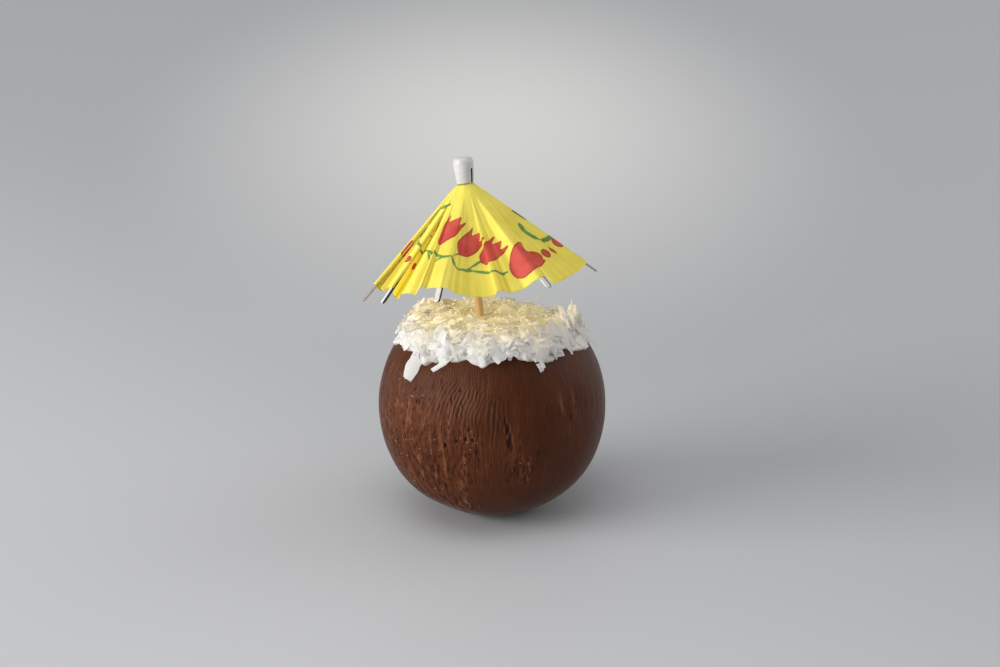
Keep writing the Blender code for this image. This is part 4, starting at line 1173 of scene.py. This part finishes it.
def ringProfile(radius, top, height, rounding=0.35):
    bore, bottom = parts["stickRadius"] + parts["gap"], top - height
    half = [(radius - rounding, 0.0), (radius - 0.3 * rounding, 0.3 * rounding), (radius, rounding)]
    return [(bore, bottom)] + [(wide, bottom + rise) for wide, rise in half] \
        + [(wide, top - drop) for wide, drop in half[::-1]] + [(bore, top)]


def cutSlit(cap):
    near, far = parts["slitDeep"]
    low, high = parts["capBottom"] - 1.0, parts["capBottom"] + parts["slitHeight"]
    half = 0.5 * parts["slitWidth"]
    corners = (near, -half), (far, -half), (far, half), (near, half)
    box = np.array([(*corner, height) for height in (low, high) for corner in corners])
    turn = np.array(Matrix.Rotation(math.radians(parts["slitDegrees"]), 3, "Z"))
    # painted shadow: the slit's cut faces take a near-black material, as the gap in the rolled card lies in
    # shade
    shade, tree = newFinish("slitShade", 0.8, 0.1)
    tree.nodes["Principled BSDF"].inputs["Base Color"].default_value = (0.020, 0.019, 0.018, 1.0)
    cutter = addPiece("slitCutter", parasolToWorld(box @ turn.T), stripFaces(2, 4), shade)
    modifier = cap.modifiers.new("slit", "BOOLEAN")
    modifier.object, modifier.operation, modifier.solver = cutter, "DIFFERENCE", "EXACT"
    modifier.material_mode = "TRANSFER"
    settle(cap, 40.0)
    removePieces([cutter])


def makeParasolParts():
    card, tree = cardFinish(), radialTree("roundTheStick")
    numbers = range(1, len(parasol["ribDegrees"]) + 1)
    ribs = radialPiece("parasol_ribs", ribStations(), tree, ribFinish())
    finishPiece(ribs, "rib_wood", *["parasol_rib_%d" % number for number in numbers])
    stretchers = radialPiece("parasol_stretchers", stretcherStations(), tree, card)
    finishPiece(stretchers, "white_card", *["parasol_stretcher_%d" % number for number in numbers])
    cap = turnedPiece("parasol_cap_roll", capProfile(), card, parts["sides"])
    cutSlit(cap)
    finishPiece(cap, "white_card", "parasol_cap")
    for name in ("hub", "runner"):
        ring = turnedPiece("parasol_%s_ring" % name, ringProfile(*parts[name]), card, parts["sides"])
        finishPiece(ring, "white_card", "parasol_" + name)
    radius, top = parts["stickRadius"], parts["stickTop"]
    bottom = top - parts["stickLength"]
    profile = [(0.2 * radius, bottom), (0.4 * radius, bottom + 0.5), (radius, bottom + parts["stickPoint"])]
    profile += [(radius, height) for height in np.linspace(bottom + 12.0, top - 0.1, 12)]
    stick = turnedPiece("parasol_stick_wood", profile, stickFinish(), 32, False)
    finishPiece(stick, "stick_wood", "parasol_stick")


makeParasolParts()


# camera, lights and floor

studio = {
    "cameraPlace": (0.0, -0.7961, 0.3573),
    "cameraPitch": 20.72,
    "cameraTurn": -0.172,
    "lens": 100.0,
    "floorTone": (0.60, 0.605, 0.62),
    # painted light on the floor: a darker tone to the back right and a glow behind the cake
    "floorFar": (0.435, 0.442, 0.452),
    "floorGlow": (0.76, 0.75, 0.73),
    "glowPlace": (0.0, 0.42, 0.0),
    "glowReach": (0.182, 0.345, 1.0),
    "worldTone": (0.80, 0.81, 0.83),
    "worldStrength": 0.52,
    # lights: place, size, watts and colour
    "lights": {
        "windowLeft": ((-3.00, -1.00, 0.95), (2.20, 1.50), 108.0, (1.0, 0.99, 0.975)),
        "softTop": ((-0.30, -0.40, 1.80), (1.60, 1.20), 8.0, (1.0, 1.0, 1.0)),
        "softRight": ((1.30, 0.50, 0.55), (1.20, 0.90), 5.0, (1.0, 1.0, 1.0)),
    },
}


def floorFinish():  # painted light: darker to the back right, with a pale painted pool of light behind the cake
    material, tree = newFinish("paleFloor", 0.55, 0.5)
    spot = addNode(tree, "ShaderNodeSeparateXYZ", {0: here(tree)}).outputs
    paintedFalloff = fade(tree, plus(tree, spot[0], spot[1]), -0.25, 0.25, kind="SMOOTHSTEP")
    glow = {"Vector": here(tree), "Location": studio["glowPlace"], "Scale": studio["glowReach"]}
    glow = made(tree, "ShaderNodeMapping", glow, vector_type="TEXTURE")
    glow = addNode(tree, "ShaderNodeVectorMath", {0: glow}, operation="LENGTH").outputs["Value"]
    glow = fade(tree, glow, 0.0, 1.0, 1.0, 0.0, "SMOOTHSTEP")
    tone = mix(tree, paintedFalloff, studio["floorTone"], studio["floorFar"])
    return paint(material, mix(tree, glow, tone, studio["floorGlow"]))


def makeStudio():
    scene = bpy.context.scene
    lens = bpy.data.cameras.new("photoCamera")
    lens.lens, lens.sensor_width, lens.clip_start = studio["lens"], 36.0, 0.01
    camera = bpy.data.objects.new("photoCamera", lens)
    camera.location = studio["cameraPlace"]
    camera.rotation_euler = np.radians((90.0 - studio["cameraPitch"], 0.0, studio["cameraTurn"]))
    scene.collection.objects.link(camera)
    scene.camera = camera
    corners = [(-4, -3, 0), (4, -3, 0), (4, 6, 0), (-4, 6, 0)]
    floor = addPiece("studio_floor", corners, [[0, 1, 2, 3]], floorFinish())
    scene.world = bpy.data.worlds.new("softRoom")
    scene.world.use_nodes = True
    sky = scene.world.node_tree.nodes["Background"]
    sky.inputs["Color"].default_value = (*studio["worldTone"], 1.0)
    sky.inputs["Strength"].default_value = studio["worldStrength"]
    for name, (place, size, watts, tone) in studio["lights"].items():
        lamp = bpy.data.lights.new(name, "AREA")
        lamp.shape, lamp.energy, lamp.color = "RECTANGLE", watts, tone
        lamp.size, lamp.size_y = size
        item = bpy.data.objects.new(name, lamp)
        item.location = place
        item.rotation_euler = (Vector((0.0, 0.0, 0.05)) - item.location).to_track_quat("-Z", "Y").to_euler()
        scene.collection.objects.link(item)
    scene.view_settings.view_transform = "Standard"
    print("camera, floor and", len(studio["lights"]), "lights are in place")


makeStudio()
